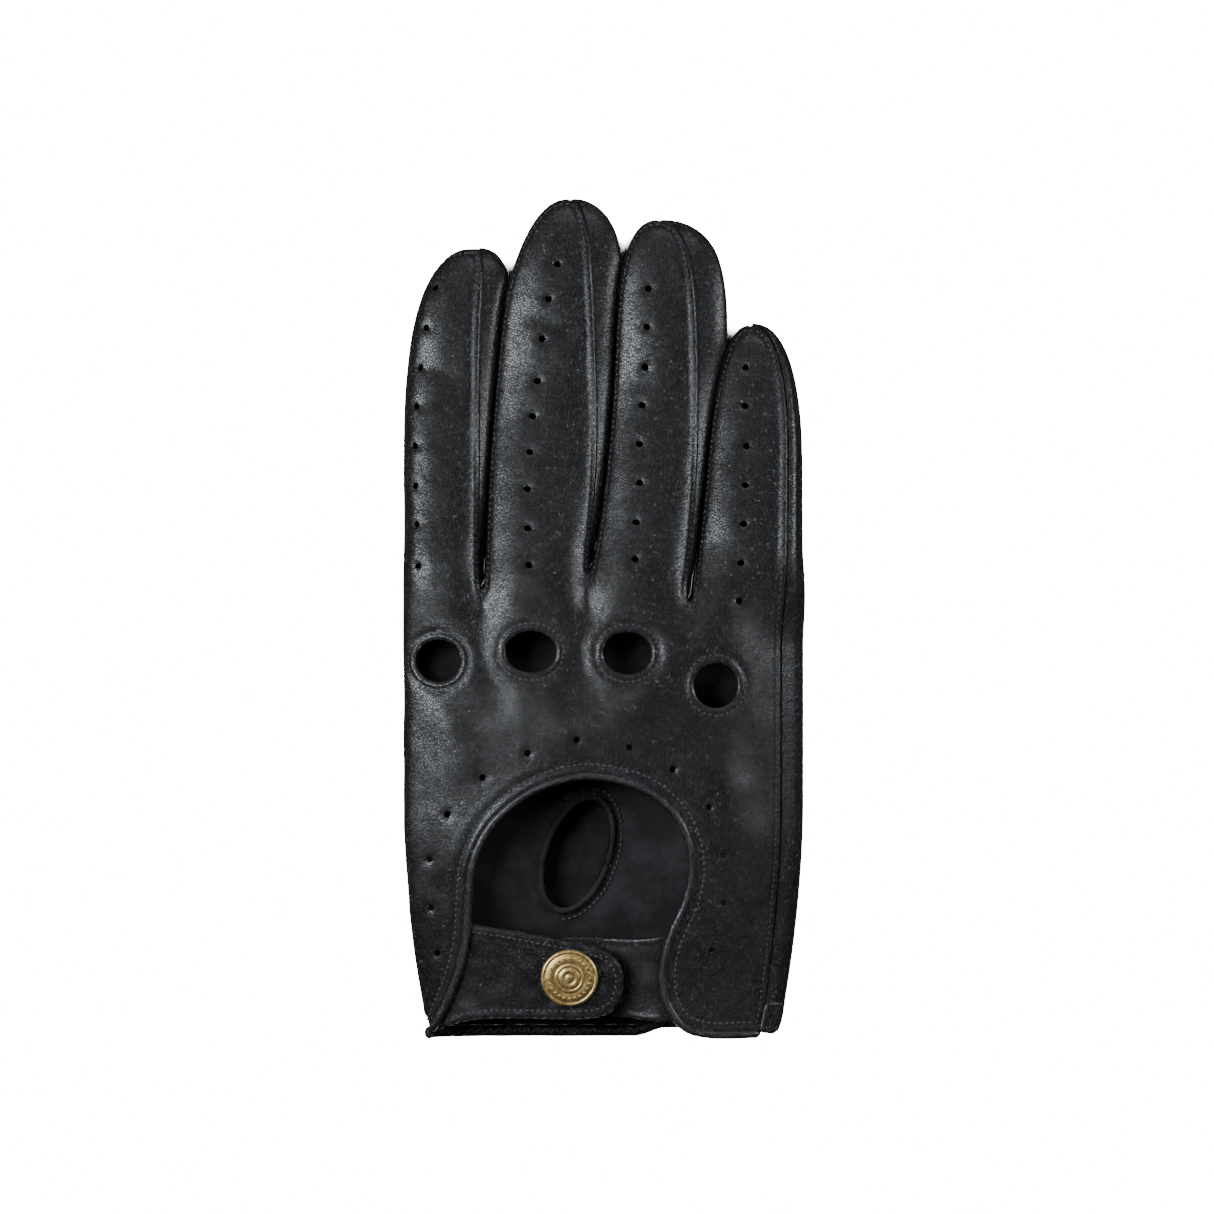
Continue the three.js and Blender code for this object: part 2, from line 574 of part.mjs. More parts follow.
add("thumb_front", cut(thumbShell(THUMB_SEAM_GAP, 180 - THUMB_SEAM_GAP), mouth));
add("thumb_back", thumbShell(180 + THUMB_SEAM_GAP / 2, 360 - THUMB_SEAM_GAP / 2));

// ---- origin at the middle of the bounding box's bottom ---------------------------------------

const box = new THREE.Box3().setFromObject(part, true);
part.position.set(-(box.min.x + box.max.x) / 2, -(box.min.y + box.max.y) / 2, -box.min.z);

export default part;
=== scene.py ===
# %% [markdown]
# # A leather driving glove
# The imported model gives the frame: rigid stand-ins for every leather panel, and hinges for the fingers,
# thumb and strap. Here each panel is made again as thin, soft, stitched leather that lies over them.

# %% Load the frame
import json
import math
from functools import partial
import bpy
import numpy as np
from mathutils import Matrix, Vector, noise
from mathutils.geometry import delaunay_2d_cdt
from mathutils.kdtree import KDTree

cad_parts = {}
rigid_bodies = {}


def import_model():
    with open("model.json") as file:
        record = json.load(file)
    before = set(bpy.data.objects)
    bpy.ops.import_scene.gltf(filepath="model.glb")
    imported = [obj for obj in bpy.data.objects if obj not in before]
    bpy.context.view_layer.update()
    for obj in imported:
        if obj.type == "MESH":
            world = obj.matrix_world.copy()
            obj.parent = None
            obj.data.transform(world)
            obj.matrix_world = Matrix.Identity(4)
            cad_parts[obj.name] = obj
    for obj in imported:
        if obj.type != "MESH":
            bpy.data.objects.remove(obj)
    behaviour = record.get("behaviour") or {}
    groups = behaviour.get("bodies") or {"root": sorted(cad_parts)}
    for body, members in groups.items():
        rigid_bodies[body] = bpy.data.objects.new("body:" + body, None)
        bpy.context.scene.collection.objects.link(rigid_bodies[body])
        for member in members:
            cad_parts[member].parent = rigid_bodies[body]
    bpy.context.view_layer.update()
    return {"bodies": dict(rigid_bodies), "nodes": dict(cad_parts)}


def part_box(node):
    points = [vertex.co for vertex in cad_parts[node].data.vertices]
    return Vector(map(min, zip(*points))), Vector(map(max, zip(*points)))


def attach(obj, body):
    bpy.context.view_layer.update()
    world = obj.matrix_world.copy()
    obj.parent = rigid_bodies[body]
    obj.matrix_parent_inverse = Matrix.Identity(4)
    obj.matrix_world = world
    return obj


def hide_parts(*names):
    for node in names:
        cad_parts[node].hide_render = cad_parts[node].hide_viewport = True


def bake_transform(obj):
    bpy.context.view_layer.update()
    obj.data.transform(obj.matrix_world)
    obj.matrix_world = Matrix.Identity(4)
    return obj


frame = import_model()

# %% [markdown]
# ## Working units
# A glove is drawn in millimetres from the cuff: X runs from the index side to the little-finger side,
# Y from the cuff to the fingertips, and Z up from the table. The frame is in metres about the middle of the
# glove, so one function moves finished points into it.

# %% Units
MM = 0.001
CUFF_EDGE = 1.5
CUFF_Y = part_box("back_panel")[0].y / MM - CUFF_EDGE


def to_frame(points):
    """Millimetres from the cuff to metres in the frame."""
    p = np.asarray(points, float).reshape(-1, 3)
    return (p + np.array([0, CUFF_Y, 0])) * MM


print("the cuff is at", round(CUFF_Y, 1), "mm")


# %% Curves
def smooth(low, high, x):
    """A soft step from 0 at low to 1 at high."""
    t = np.clip((x - low) / (high - low), 0, 1)
    return t * t * (3 - 2 * t)


def mix(a, b, t):
    """From a to b as t goes from 0 to 1."""
    return a + (b - a) * t


def bell(x, centre, width):
    """A round bump of height 1."""
    return np.exp(-(((x - centre) / width) ** 2))


print("a quarter along a soft step:", smooth(0, 1, 0.25))

# %% [markdown]
# ## The form inside the leather
# An empty glove keeps the shape of the last hand in it: a flat oval palm held up by the folded thumb, and
# four flattened tubes for fingers. A superellipse gives both cross-sections, and it is the same form that
# the rigid stand-ins were made from, so the leather fits them everywhere.

# %% Sizes of the form
# The hand: its length up to the webs, the power of its oval, and its heights over the table.
HAND_LENGTH = 118
SECTION = 2.6
TABLE_SINK = 0.5
PALM_LIFT = 8.2
CUFF_TOP = 19.5
KNUCKLE_TOP = 25.5
WEB_TOP = 24.2
CUFF_TAPER = 6.5
TAPER_LENGTH = 62
DROOP_FROM = 30

# The fingers, from the index to the little finger.
FINGERS = ["index", "middle", "ring", "little"]
WIDTH = [20.6, 27.3, 27.1, 29.6]
REACH = [90.4, 103.3, 97.8, 70]
SHIFT = [9, 9.4, 5.4, 1.3]
ROUND = [50, 36, 36, 38]
KNUCKLE_LINE = [119.6, 124.6, 124.6, 116.2]
JOINT_LINE = [156, 163, 161, 146]
LEAN = [0, 0.012, 0.176, 0.136, 0]
CURL = [0, 0.00072, -0.00109, -0.00058, 0]
WEB = [118.4, 123.4, 115]
EDGE_X = np.cumsum([-sum(WIDTH) / 2] + WIDTH)
HALF = sum(WIDTH) / 2
TIP_POWER = 2.4
FINGER_GAP = 0.5
FINGER_THICK = (16, 13)
print("the form is", round(2 * HALF, 1), "mm wide and", HAND_LENGTH + max(REACH), "mm long")


# %% Sections of the hand and the fingers
def lift(y):
    """Height of the palm over the table, where the folded thumb holds it up."""
    return PALM_LIFT * smooth(8, 40, y) * (1 - smooth(HAND_LENGTH - 6, HAND_LENGTH + 62, y))


def droop(x, y):
    """How far the little finger's side sinks back towards the table."""
    return -lift(y) * 0.5 * smooth(DROOP_FROM, HALF, x)


def hand_section(y):
    """Middle height, half width and half height of the hand at y."""
    inward = np.maximum(0, 1 - y / TAPER_LENGTH)
    top = mix(mix(CUFF_TOP, KNUCKLE_TOP, smooth(0, 60, y)), WEB_TOP, smooth(80, HAND_LENGTH, y))
    bottom = lift(y) - TABLE_SINK
    return (top + bottom) / 2, HALF - CUFF_TAPER * inward**1.8, (top - bottom) / 2


def edge(i, y):
    """Plan X of the line between finger i - 1 and finger i, with its lean and its curve."""
    h = np.maximum(0, y - HAND_LENGTH)
    return EDGE_X[i] + LEAN[i] * h + CURL[i] * h * h


def finger_section(i, y):
    """Middle X and Z, half width and half thickness of a finger at y."""
    h = y - HAND_LENGTH
    tip_x = (EDGE_X[i] + EDGE_X[i + 1]) / 2 + SHIFT[i]
    rise = np.clip((h - (REACH[i] - ROUND[i])) / ROUND[i], 0, 1)
    share = np.maximum(0.03, (1 - rise**TIP_POWER) ** (1 / TIP_POWER))
    left = tip_x + (edge(i, y) + (FINGER_GAP if i else 0) - tip_x) * share
    right = tip_x + (edge(i + 1, y) - (FINGER_GAP if i < 3 else 0) - tip_x) * share
    thickness = mix(*FINGER_THICK, h / REACH[i])
    b = thickness / 2 * share**0.6
    x = (left + right) / 2
    z = lift(y) + droop(x, y) - TABLE_SINK + thickness / 2 - (thickness / 2 - b) * 0.6
    return x, z, (right - left) / 2, b


def round_trip(degrees):
    """Cosine and sine of the superellipse."""
    c, s = np.cos(np.radians(degrees)), np.sin(np.radians(degrees))
    return np.sign(c) * np.abs(c) ** (2 / SECTION), np.sign(s) * np.abs(s) ** (2 / SECTION)


def hand_point(y, degrees):
    """The point this far round the hand's section at y, never below the table."""
    z, a, b = hand_section(y)
    c, s = round_trip(degrees)
    x = a * c
    return np.stack([x, y, np.maximum(0, z + b * s + droop(x, y))], -1)


def finger_point(i, y, degrees):
    """The point this far round finger i's section at y, never below the table."""
    x, z, a, b = finger_section(i, y)
    c, s = round_trip(degrees)
    return np.stack([x + a * c, y, np.maximum(0, z + b * s)], -1)


def arc_table(ratio):
    """Angles, and how far round a section of this width to height each one is."""
    degrees = np.linspace(-60, 420, 1921)
    c, s = round_trip(degrees)
    steps = np.hypot(np.diff(c * ratio), np.diff(s))
    return degrees, np.concatenate([[0], np.cumsum(steps)])


FINGER_ARC = arc_table(1.6)
HAND_ARC = arc_table(5)
print("middle of the palm is lifted", round(float(lift(60)), 1), "mm")

# %% [markdown]
# ## Pattern pieces
# A glover cuts one back, one palm, three fourchettes that run down one side of a finger, round the web and
# up the next, and a side strip along the little finger. Back and palm are drawn flat here, in plan, and a
# function lays each flat point on the form. Near the knuckles it turns one wide section into four tubes.

# %% Where the seams run
WRAP_SHARE = 0.93
INDEX_FOLD = 200
PALM_FOLD = INDEX_FOLD + 2
SIDE_SEAM = 30
BACK_LEFT = 170.0
BACK_RIGHT = (14.0, 54.0)
LITTLE_RIGHT = 50.0
PALM_LEFT = 214.0
PALM_RIGHT = 326.0
KNIT_FROM = 103
KNIT_TO = 130


def seam_angles(i, y, top):
    """Left and right seam of a finger's back or palm, in degrees round its section."""
    h = smooth(HAND_LENGTH, HAND_LENGTH + REACH[i] * 0.85, y)
    if top:
        left = np.full_like(y, INDEX_FOLD if i == 0 else BACK_LEFT)
        right = np.full_like(y, LITTLE_RIGHT) if i == 3 else mix(*BACK_RIGHT, h)
    else:
        left = np.full_like(y, PALM_FOLD if i == 0 else PALM_LEFT)
        right = np.full_like(y, PALM_RIGHT)
    return left, right


def knit(y):
    """How far the hand has turned into fingers at y."""
    return smooth(KNIT_FROM, KNIT_TO, y)


def hand_edge(y, top, right):
    """Plan X of the left or right cut edge over the hand."""
    _, a, b = hand_section(y)
    if right:
        return a * round_trip(SIDE_SEAM)[0]
    if not top:
        return a * round_trip(PALM_FOLD)[0]
    from_degrees = 180 - math.degrees(math.acos(WRAP_SHARE ** (SECTION / 2)))
    extra = np.interp(INDEX_FOLD, *HAND_ARC) - np.interp(from_degrees, *HAND_ARC)
    return -(WRAP_SHARE * a + b * extra)


def cut_edges(i, y, top):
    """Plan X of both cut edges of a finger."""
    x, _, a, b = finger_section(i, y)
    left, right = seam_angles(i, y, top)
    lo, hi = x + a * round_trip(left)[0], x + a * round_trip(right)[0]
    if i == 0:
        fold = x - a - 0.62 * b if top else lo
        lo = mix(hand_edge(y, top, False), fold, knit(y))
    if i == 3:
        hi = mix(hand_edge(y, top, True), hi, knit(y))
    return lo, hi


print("the back folds round the index side to", INDEX_FOLD, "degrees, and ends at", SIDE_SEAM)


# %% Laying flat points on the form
def on_hand(s, y, top):
    """A flat point laid on the hand. Past the index side, the back wraps on round the section."""
    z, a, b = hand_section(y)
    share = np.clip(np.abs(s) / a, 0, 1) ** (SECTION / 2)
    degrees = np.degrees(np.arccos(np.clip(np.sign(s) * share, -1, 1)))
    if not top:
        return hand_point(y, 360 - degrees)
    start = 180 - math.degrees(math.acos(WRAP_SHARE ** (SECTION / 2)))
    past = np.interp(start, *HAND_ARC) + (-WRAP_SHARE * a - s) / b
    wrapped = np.interp(past, HAND_ARC[1], HAND_ARC[0])
    return hand_point(y, np.where(s < -WRAP_SHARE * a, wrapped, degrees))


def on_finger(i, s, y, top):
    """A flat point laid on finger i, spread evenly round it from seam to seam."""
    lo, hi = cut_edges(i, y, top)
    t = np.clip((s - lo) / (hi - lo), 0, 1)
    left, right = seam_angles(i, y, top)
    around = mix(np.interp(left, *FINGER_ARC), np.interp(right, *FINGER_ARC), t)
    return finger_point(i, y, np.interp(around, FINGER_ARC[1], FINGER_ARC[0]))


def lay(i, s, y, top=True):
    """A flat point of finger i's column, or of the hand below it, laid on the form."""
    s, y = np.asarray(s, float), np.asarray(y, float)
    hand = on_hand(s, y, top)
    change = on_finger(i, s, y, top) - hand
    for j, side in ((i, -1), (i + 1, 1)):
        if j in (0, 4):
            continue
        line = edge(j, y)
        at_line = on_hand(line, y, top)
        mine = on_finger(i, line, y, top) - at_line
        other = on_finger(i + side, line, y, top) - at_line
        near = 1 - smooth(0, 7, np.abs(s - line))
        joined = 1 - smooth(WEB[j - 1], WEB[j - 1] + 7, y)
        change += ((mine + other) / 2 - mine) * (near * joined)[..., None]
    return hand + change * knit(y)[..., None]


def column(s, y):
    """Which finger's column each flat point is in."""
    return sum((s > edge(j, y)).astype(int) for j in (1, 2, 3))


def lay_all(flat, top=True):
    """Every flat point laid on the form, each in its own finger's column."""
    out = np.zeros((len(flat), 3))
    which = column(flat[:, 0], flat[:, 1])
    for i in range(4):
        k = which == i
        out[k] = lay(i, flat[k, 0], flat[k, 1], top)
    return out


print("the middle of the back is", lay_all(np.array([[0.0, 60.0]]))[0, 2].round(1), "mm high")

# %% [markdown]
# ## Cutting out
# The outline climbs each finger and comes down into each web, so the slots between fingers are part of it.
# The keyhole, the knuckle holes and the small punched air holes are cut away too. A constrained Delaunay
# triangulation fills what is left with even triangles, which a grid couldn't do round so many curves.

# %% Openings
# The keyhole's edge, from the little finger's side of the cuff round to the index side.
KEYHOLE = [
    (41, 1.6), (28, 1.6), (21.2, 3.6), (17, 9), (15.6, 15), (16, 21.5), (18, 28.4),
    (21.6, 36.5), (23.2, 45), (21.8, 53.4), (17.2, 61.2), (8.6, 67), (-3.7, 69.4),
    (-14, 67.4), (-22.8, 62.8), (-30, 55.6), (-34.2, 46.5), (-35.3, 37), (-35.8, 28.5),
    (-37.4, 20), (-40, 12.4), (-42.6, 7), (-44.8, 3.6), (-46.4, 2.3),
]
# Middle X and Y and both radii of each knuckle hole.
KNUCKLE_HOLES = [
    (-43.2, 99.4, 6.0, 5.5), (-19, 101.8, 6.7, 5.4),
    (6.2, 101.4, 6.4, 5.5), (29.4, 93, 5.9, 5.9),
]
RIM_POINTS = 44
# Air holes, punched by hand and so a little uneven: a row down each finger, then one on each side
# of the keyhole.
AIR_HOLES = [
    [(-43.2, 197.6), (-45.3, 186.9), (-46.9, 176.4), (-47.9, 166.2), (-48.4, 155.7), (-48.7, 145.2),
     (-48.7, 135.2), (-48.4, 124.2)],
    [(-11.2, 203.4), (-13.3, 194.3), (-14.8, 183.8), (-15.9, 172.7), (-17.2, 163.5), (-18, 154.1),
     (-18.8, 144.4), (-19, 134.1), (-19, 124.4)],
    [(13, 197.1), (12.7, 186.9), (12.2, 176.4), (11.4, 166.4), (10.6, 156.2), (10.4, 146), (9.3, 135.7),
     (8.8, 126)],
    [(38.2, 176.4), (38.2, 166.2), (38.5, 155.7), (38.2, 145.4), (37.7, 135.2), (36.9, 125), (35.8, 115)],
    [(-7, 78.8), (-19.8, 75.3), (-31.6, 69), (-40.8, 59.3), (-45.6, 47.5), (-45.2, 34.7), (-43.6, 22.8)],
    [(6.7, 76.9), (18, 71.1), (27.4, 61.2), (31.1, 48.8), (31.4, 36.2), (28.2, 23.9)],
]
AIR_RADIUS = 0.85
AIR_POINTS = 10
AIR_MARGIN = 0.45
print("air holes:", sum(len(row) for row in AIR_HOLES))


# %% Lines and ovals
def spline(points, step):
    """A smooth line through the points, cut into even steps."""
    p = np.array(points, float)
    p = np.vstack([2 * p[0] - p[1], p, 2 * p[-1] - p[-2]])
    t = np.linspace(0, 1, 24, endpoint=False)[:, None]
    parts = []
    for a, b, c, d in zip(p, p[1:], p[2:], p[3:]):
        square = (2 * a - 5 * b + 4 * c - d) * t**2
        cube = (3 * b - a - 3 * c + d) * t**3
        parts.append(0.5 * (2 * b + (c - a) * t + square + cube))
    return even(np.vstack([*parts, p[-2]]), step)


def even(line, step):
    """The same line with points a step apart."""
    length = np.concatenate([[0], np.cumsum(np.linalg.norm(np.diff(line, axis=0), axis=1))])
    count = max(2, round(length[-1] / step) + 1)
    at = np.linspace(0, length[-1], count)
    return np.stack([np.interp(at, length, line[:, k]) for k in range(line.shape[1])], -1)


def oval(x, y, rx, ry, count):
    t = np.linspace(0, 2 * math.pi, count, endpoint=False)
    return np.stack([x + rx * np.cos(t), y + ry * np.sin(t)], -1)


def closed(loop):
    """The loop with its first point again at the end."""
    return np.vstack([loop, loop[:1]])


keyhole_line = spline(KEYHOLE, 1.0)
print("keyhole edge:", len(keyhole_line), "points")

# %% Outlines
TIP_STEPS = 44
TURN_ROWS = 14
CUFF_START = 3.0


def finger_heights(i, start):
    """Heights up a finger, closer together round its tip."""
    straight = HAND_LENGTH + REACH[i] - ROUND[i]
    turn = np.linspace(0.05, math.radians(88.8), TIP_STEPS)
    return np.concatenate([np.arange(start, straight, 1.0), straight + ROUND[i] * np.sin(turn)])


def slot(j, top):
    """The cut line from one fingertip down into a web and up to the next fingertip."""
    i = j - 1
    down, up = finger_heights(i, WEB[i] + 1.2)[::-1], finger_heights(j, WEB[i] + 1.2)
    right = np.stack([cut_edges(i, down, top)[1], down], -1)
    left = np.stack([cut_edges(j, up, top)[0], up], -1)
    middle, radius = (right[-1] + left[0]) / 2, (left[0, 0] - right[-1, 0]) / 2
    turn = np.linspace(math.pi, 2 * math.pi, 7)[1:-1]
    bend = middle + np.stack([radius * np.cos(turn), 1.2 * np.sin(turn)], -1)
    return np.vstack([right, bend, left])


def outline(top):
    """Closed outline of the back or the palm, with the keyhole open to the cuff on the back."""
    rise = np.arange(CUFF_START, HAND_LENGTH, 1.0)
    little = finger_heights(3, HAND_LENGTH)
    index = finger_heights(0, HAND_LENGTH)[::-1]
    right = np.stack([hand_edge(rise, top, True), rise], -1)
    right_up = np.stack([cut_edges(3, little, top)[1], little], -1)
    left_down = np.stack([cut_edges(0, index, top)[0], index], -1)
    left = np.stack([hand_edge(rise[::-1], top, False), rise[::-1]], -1)
    right[-TURN_ROWS:, 0] = cut_edges(3, rise[-TURN_ROWS:], top)[1]
    left[:TURN_ROWS, 0] = cut_edges(0, rise[::-1][:TURN_ROWS], top)[0]
    cuff = keyhole_line[::-1] if top else even(np.array([left[-1], right[0]]), 1.2)[1:-1]
    slots = [slot(j, top)[::-1] for j in (3, 2, 1)]
    return np.vstack([right, right_up, *slots, left_down, left, cuff])


print("outline of the back:", len(outline(top=True)), "points")


# %% Inside, distance and triangles
ROW_LEEWAY = 0.93


def inside(points, loop):
    """Even-odd test of many points against one loop."""
    x, y = points[:, 0], points[:, 1]
    result = np.zeros(len(points), bool)
    for (x0, y0), (x1, y1) in zip(loop, np.roll(loop, -1, 0)):
        if y0 == y1:
            continue
        crosses = (y0 > y) != (y1 > y)
        result ^= crosses & (x < x0 + (y - y0) * (x1 - x0) / (y1 - y0))
    return result


def plan_tree(points):
    """A search tree of points in plan."""
    tree = KDTree(len(points))
    for k, p in enumerate(points):
        tree.insert((p[0], p[1], 0), k)
    tree.balance()
    return tree


def nearest(tree, points):
    """Numbers of the tree's points that are nearest to these in plan."""
    return [tree.find((p[0], p[1], 0))[1] for p in points]


def distance_to(points, lines):
    """How far each flat point is from the nearest of these lines."""
    tree = plan_tree(np.vstack([even(line, 0.25) for line in lines]))
    return np.array([tree.find((p[0], p[1], 0))[2] for p in points])


def plan_normals(loop):
    """Unit directions square to a loop in plan."""
    ahead = np.roll(loop, -1, 0) - np.roll(loop, 1, 0)
    length = np.maximum(1e-9, np.linalg.norm(ahead, axis=1))
    return np.stack([-ahead[:, 1], ahead[:, 0]], -1) / length[:, None]


def offsets(loop, amounts, keep, sign=1):
    """Rows of extra points beside a cut edge, so that a turned edge and a stitch line have shape."""
    normal = plan_normals(loop)
    rows = [loop + normal * amount * sign for amount in amounts]
    points = np.vstack(rows)
    away = distance_to(points, keep)
    wanted = np.repeat(amounts, len(loop))
    return points[away > wanted * ROW_LEEWAY]


def triangulate(loop, holes, spacing, rows, small=()):
    """Flat points and triangles that fill the loop and leave the holes open."""
    loops = [loop, *holes]
    keep = [closed(line) for line in loops]
    extra = [offsets(loop, rows, keep)] + [offsets(h, rows, keep, -1) for h in holes]
    low, high = loop.min(0), loop.max(0)
    step_y = spacing * math.sqrt(3) / 2
    grid = [
        (x + (spacing / 2 if k % 2 else 0), y)
        for k, y in enumerate(np.arange(low[1], high[1], step_y))
        for x in np.arange(low[0], high[0], spacing)
    ]
    grid = np.array(grid)
    grid = grid[inside(grid, loop)]
    grid = grid[distance_to(grid, keep) > rows[-1] + spacing * 0.6]
    for x, y, r in small:
        grid = grid[np.hypot(grid[:, 0] - x, grid[:, 1] - y) > r + AIR_MARGIN]
        loops.append(oval(x, y, r, r, AIR_POINTS))
    extra = np.vstack(extra)
    extra = extra[inside(extra, loop)]
    for hole in loops[1:]:
        extra = extra[~inside(extra, hole)]
        grid = grid[~inside(grid, hole)]
    edges = []
    start = 0
    for line in loops:
        n = len(line)
        edges += [(start + k, start + (k + 1) % n) for k in range(n)]
        start += n
    points = np.vstack([*loops, extra, grid])
    result = delaunay_2d_cdt([Vector(p) for p in points], edges, [], 0, 1e-5)
    flat = np.array([tuple(v) for v in result[0]])
    triangles = np.array(result[2])
    middle = flat[triangles].mean(1)
    good = inside(middle, loop)
    for hole in loops[1:]:
        near = np.abs(middle - hole.mean(0)).max(1) < np.abs(hole - hole.mean(0)).max() + 1
        candidates = np.where(near & good)[0]
        good[candidates[inside(middle[candidates], hole)]] = False
    return flat, triangles[good]


test_square = np.array([(0.0, 0.0), (9.0, 0.0), (9.0, 9.0), (0.0, 9.0)])
print("a small square gets", len(triangulate(test_square, [], 2.0, np.array([0.5]))[1]), "triangles")

# %% [markdown]
# ## Giving the leather a surface
# Leather turns over at a cut edge, sinks along a row of stitches and puffs up beside it. Old bends leave
# soft creases. All of that is real height here, because it catches the light along every seam.

# %% Height of the leather
CREASES = [
    # from, to, half width, height
    ((28, 112), (2, 82), 7, 0.9),
    ((2, 82), (-18, 78), 6, 0.5),
    ((-33, 112), (-27, 88), 5, -0.5),
    ((-4, 112), (-7, 90), 5, -0.5),
    ((22, 108), (17, 88), 5, -0.5),
    ((-46, 92), (-38, 76), 5, 0.5),
    ((-17, 190), (-7, 184), 2.2, -0.45),
    ((-14, 181), (-6, 187), 1.8, -0.3),
    ((-46, 178), (-38, 172), 2.6, -0.3),
    ((8, 172), (18, 176), 2.4, -0.25),
    ((34, 152), (44, 157), 2.4, -0.28),
    ((-47, 122), (-36, 118), 3, -0.35),
    ((20, 12), (34, 22), 4, -0.7),
    ((30, 30), (24, 14), 5, 0.5),
    ((34, 66), (22, 74), 5, 0.35),
    ((-48, 60), (-43, 40), 4, -0.4),
    ((36, 84), (41, 60), 5, -0.4),
    ((-12, 112), (-20, 116), 3, -0.3),
]


def crease_height(flat):
    """Height of all the creases at each flat point. Each fades towards its ends."""
    total = np.zeros(len(flat))
    for start, end, width, height in CREASES:
        a, b = np.array(start, float), np.array(end, float)
        along = np.clip((flat - a) @ (b - a) / ((b - a) @ (b - a)), 0, 1)
        away = np.linalg.norm(flat - a - along[:, None] * (b - a), axis=1)
        fade = 0.35 + 0.65 * np.sin(math.pi * (0.15 + 0.7 * along))
        total += height * np.exp(-((away / width) ** 2)) * fade
    return total


def ripple(points, size, seed):
    """Smooth noise with features about this many millimetres across."""
    return np.array([noise.noise(Vector(p) / size + Vector((seed, 0, 0))) for p in points])


def spots(flat):
    """Flat points with a third coordinate, for the noise."""
    return np.c_[flat, np.zeros(len(flat))]


def turned_edge(away, radius=0.9, depth=0.55):
    """A cut edge rolls down over this radius."""
    return -depth * np.maximum(0, 1 - away / radius) ** 2


def stitched_edge(away, at=1.5):
    """A turned edge, the groove of its stitches and the soft ridge beside them."""
    return turned_edge(away) - 0.32 * bell(away, at, 0.35) + 0.2 * bell(away, at + 1.5, 1.2)


print("a stitch groove is", round(float(-stitched_edge(1.5)), 2), "mm deep")


# %% Normals
LOWEST = 0.02


def normals_of(points, triangles):
    a, b, c = (points[triangles[:, k]] for k in range(3))
    face = np.cross(b - a, c - a)
    total = np.zeros_like(points)
    for k in range(3):
        np.add.at(total, triangles[:, k], face)
    return total / np.maximum(1e-12, np.linalg.norm(total, axis=1))[:, None]


def outward(points, triangles, height, direction):
    """Turns the triangles to face this way, raises the points and gives their normals."""
    normals = normals_of(points, triangles)
    if (normals @ np.array(direction)).mean() < 0:
        triangles = triangles[:, ::-1]
        normals = -normals
    raised = points + normals * np.asarray(height)[:, None]
    raised[:, 2] = np.maximum(LOWEST, raised[:, 2])
    return raised, triangles, normals_of(raised, triangles)


print("no leather goes lower than", LOWEST, "mm over the table")

# %% [markdown]
# ## From pattern piece to mesh
# A panel gets its thickness by copying the outer face inwards and closing every cut edge. It is then split
# where the bodies of the frame meet, away from the bends, and each part keeps the normals of the
# whole panel, so that no join shows.

# %% Bodies and bends
LEATHER = 0.95
SPLIT_Y = 108
BEND = 11


def region(i, y):
    """Name of the part of the glove that a point of finger column i belongs to."""
    middle = (KNUCKLE_LINE[i] + JOINT_LINE[i]) / 2
    return "hand" if y < SPLIT_Y else FINGERS[i] + ("_root" if y < middle else "_end")


def join_bodies(piece, place):
    """Rides on the body that this part of the glove belongs to; a part that lies between two bodies is left
    where it lies, joined to neither.
    """
    if place in frame["bodies"]:
        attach(piece, place)
        return piece
    name, part = place.split("_")
    i = FINGERS.index(name)
    if part == "root":
        low = max(WEB[k] for k in (i - 1, i) if 0 <= k < 3) + 0.5
        bodies, low, high = ("hand", f"{name}_lower"), low, low + BEND
    else:
        bodies, low, high = (f"{name}_lower", f"{name}_upper"), JOINT_LINE[i] - 7, JOINT_LINE[i] + 7
    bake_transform(piece)
    return piece


def places_of(flat):
    """The part of the glove that each flat point is in."""
    return [region(int(i), y) for i, y in zip(column(flat[:, 0], flat[:, 1]), flat[:, 1])]


print("parts of the index finger:", region(0, KNUCKLE_LINE[0]), "and", region(0, JOINT_LINE[0]))

# %% Meshes
made = {}


def new_piece(name, points, faces, normals, materials, inner=None):
    """A mesh object from millimetre points. inner marks the faces that show the second material."""
    mesh = bpy.data.meshes.new(name)
    mesh.from_pydata(to_frame(points).tolist(), [], [list(map(int, f)) for f in faces])
    for material in materials:
        mesh.materials.append(material)
    mesh.polygons.foreach_set("use_smooth", [True] * len(mesh.polygons))
    if inner is not None:
        mesh.polygons.foreach_set("material_index", np.asarray(inner, int))
    mesh.validate()
    if normals is not None:
        mesh.normals_split_custom_set_from_vertices(normals.tolist())
    piece = bpy.data.objects.new(name, mesh)
    bpy.context.scene.collection.objects.link(piece)
    made[name] = len(faces)
    return piece


def edge_loops(triangles):
    """Directed edges that only one triangle has."""
    pairs = np.vstack([triangles[:, [0, 1]], triangles[:, [1, 2]], triangles[:, [2, 0]]])
    have = {(a, b) for a, b in pairs.tolist()}
    return [(a, b) for a, b in have if (b, a) not in have]


def shell_faces(triangles, n):
    """Outer faces, inner faces and rim of n outer and n inner points, and 1 for each inner face."""
    outer = [tuple(f) for f in triangles.tolist()]
    inner = [(a + n, c + n, b + n) for a, b, c in outer]
    rim = [(b, a, a + n, b + n) for a, b in edge_loops(triangles)]
    marks = [0] * len(outer) + [1] * len(inner) + [0] * len(rim)
    return outer + inner + rim, marks


def thicken(points, triangles, normals, thickness=LEATHER):
    """Outer face, inner face and the cut edges between them."""
    faces, inner = shell_faces(triangles, len(points))
    both = np.vstack([points, points - normals * thickness])
    return both, faces, np.vstack([normals, -normals]), inner


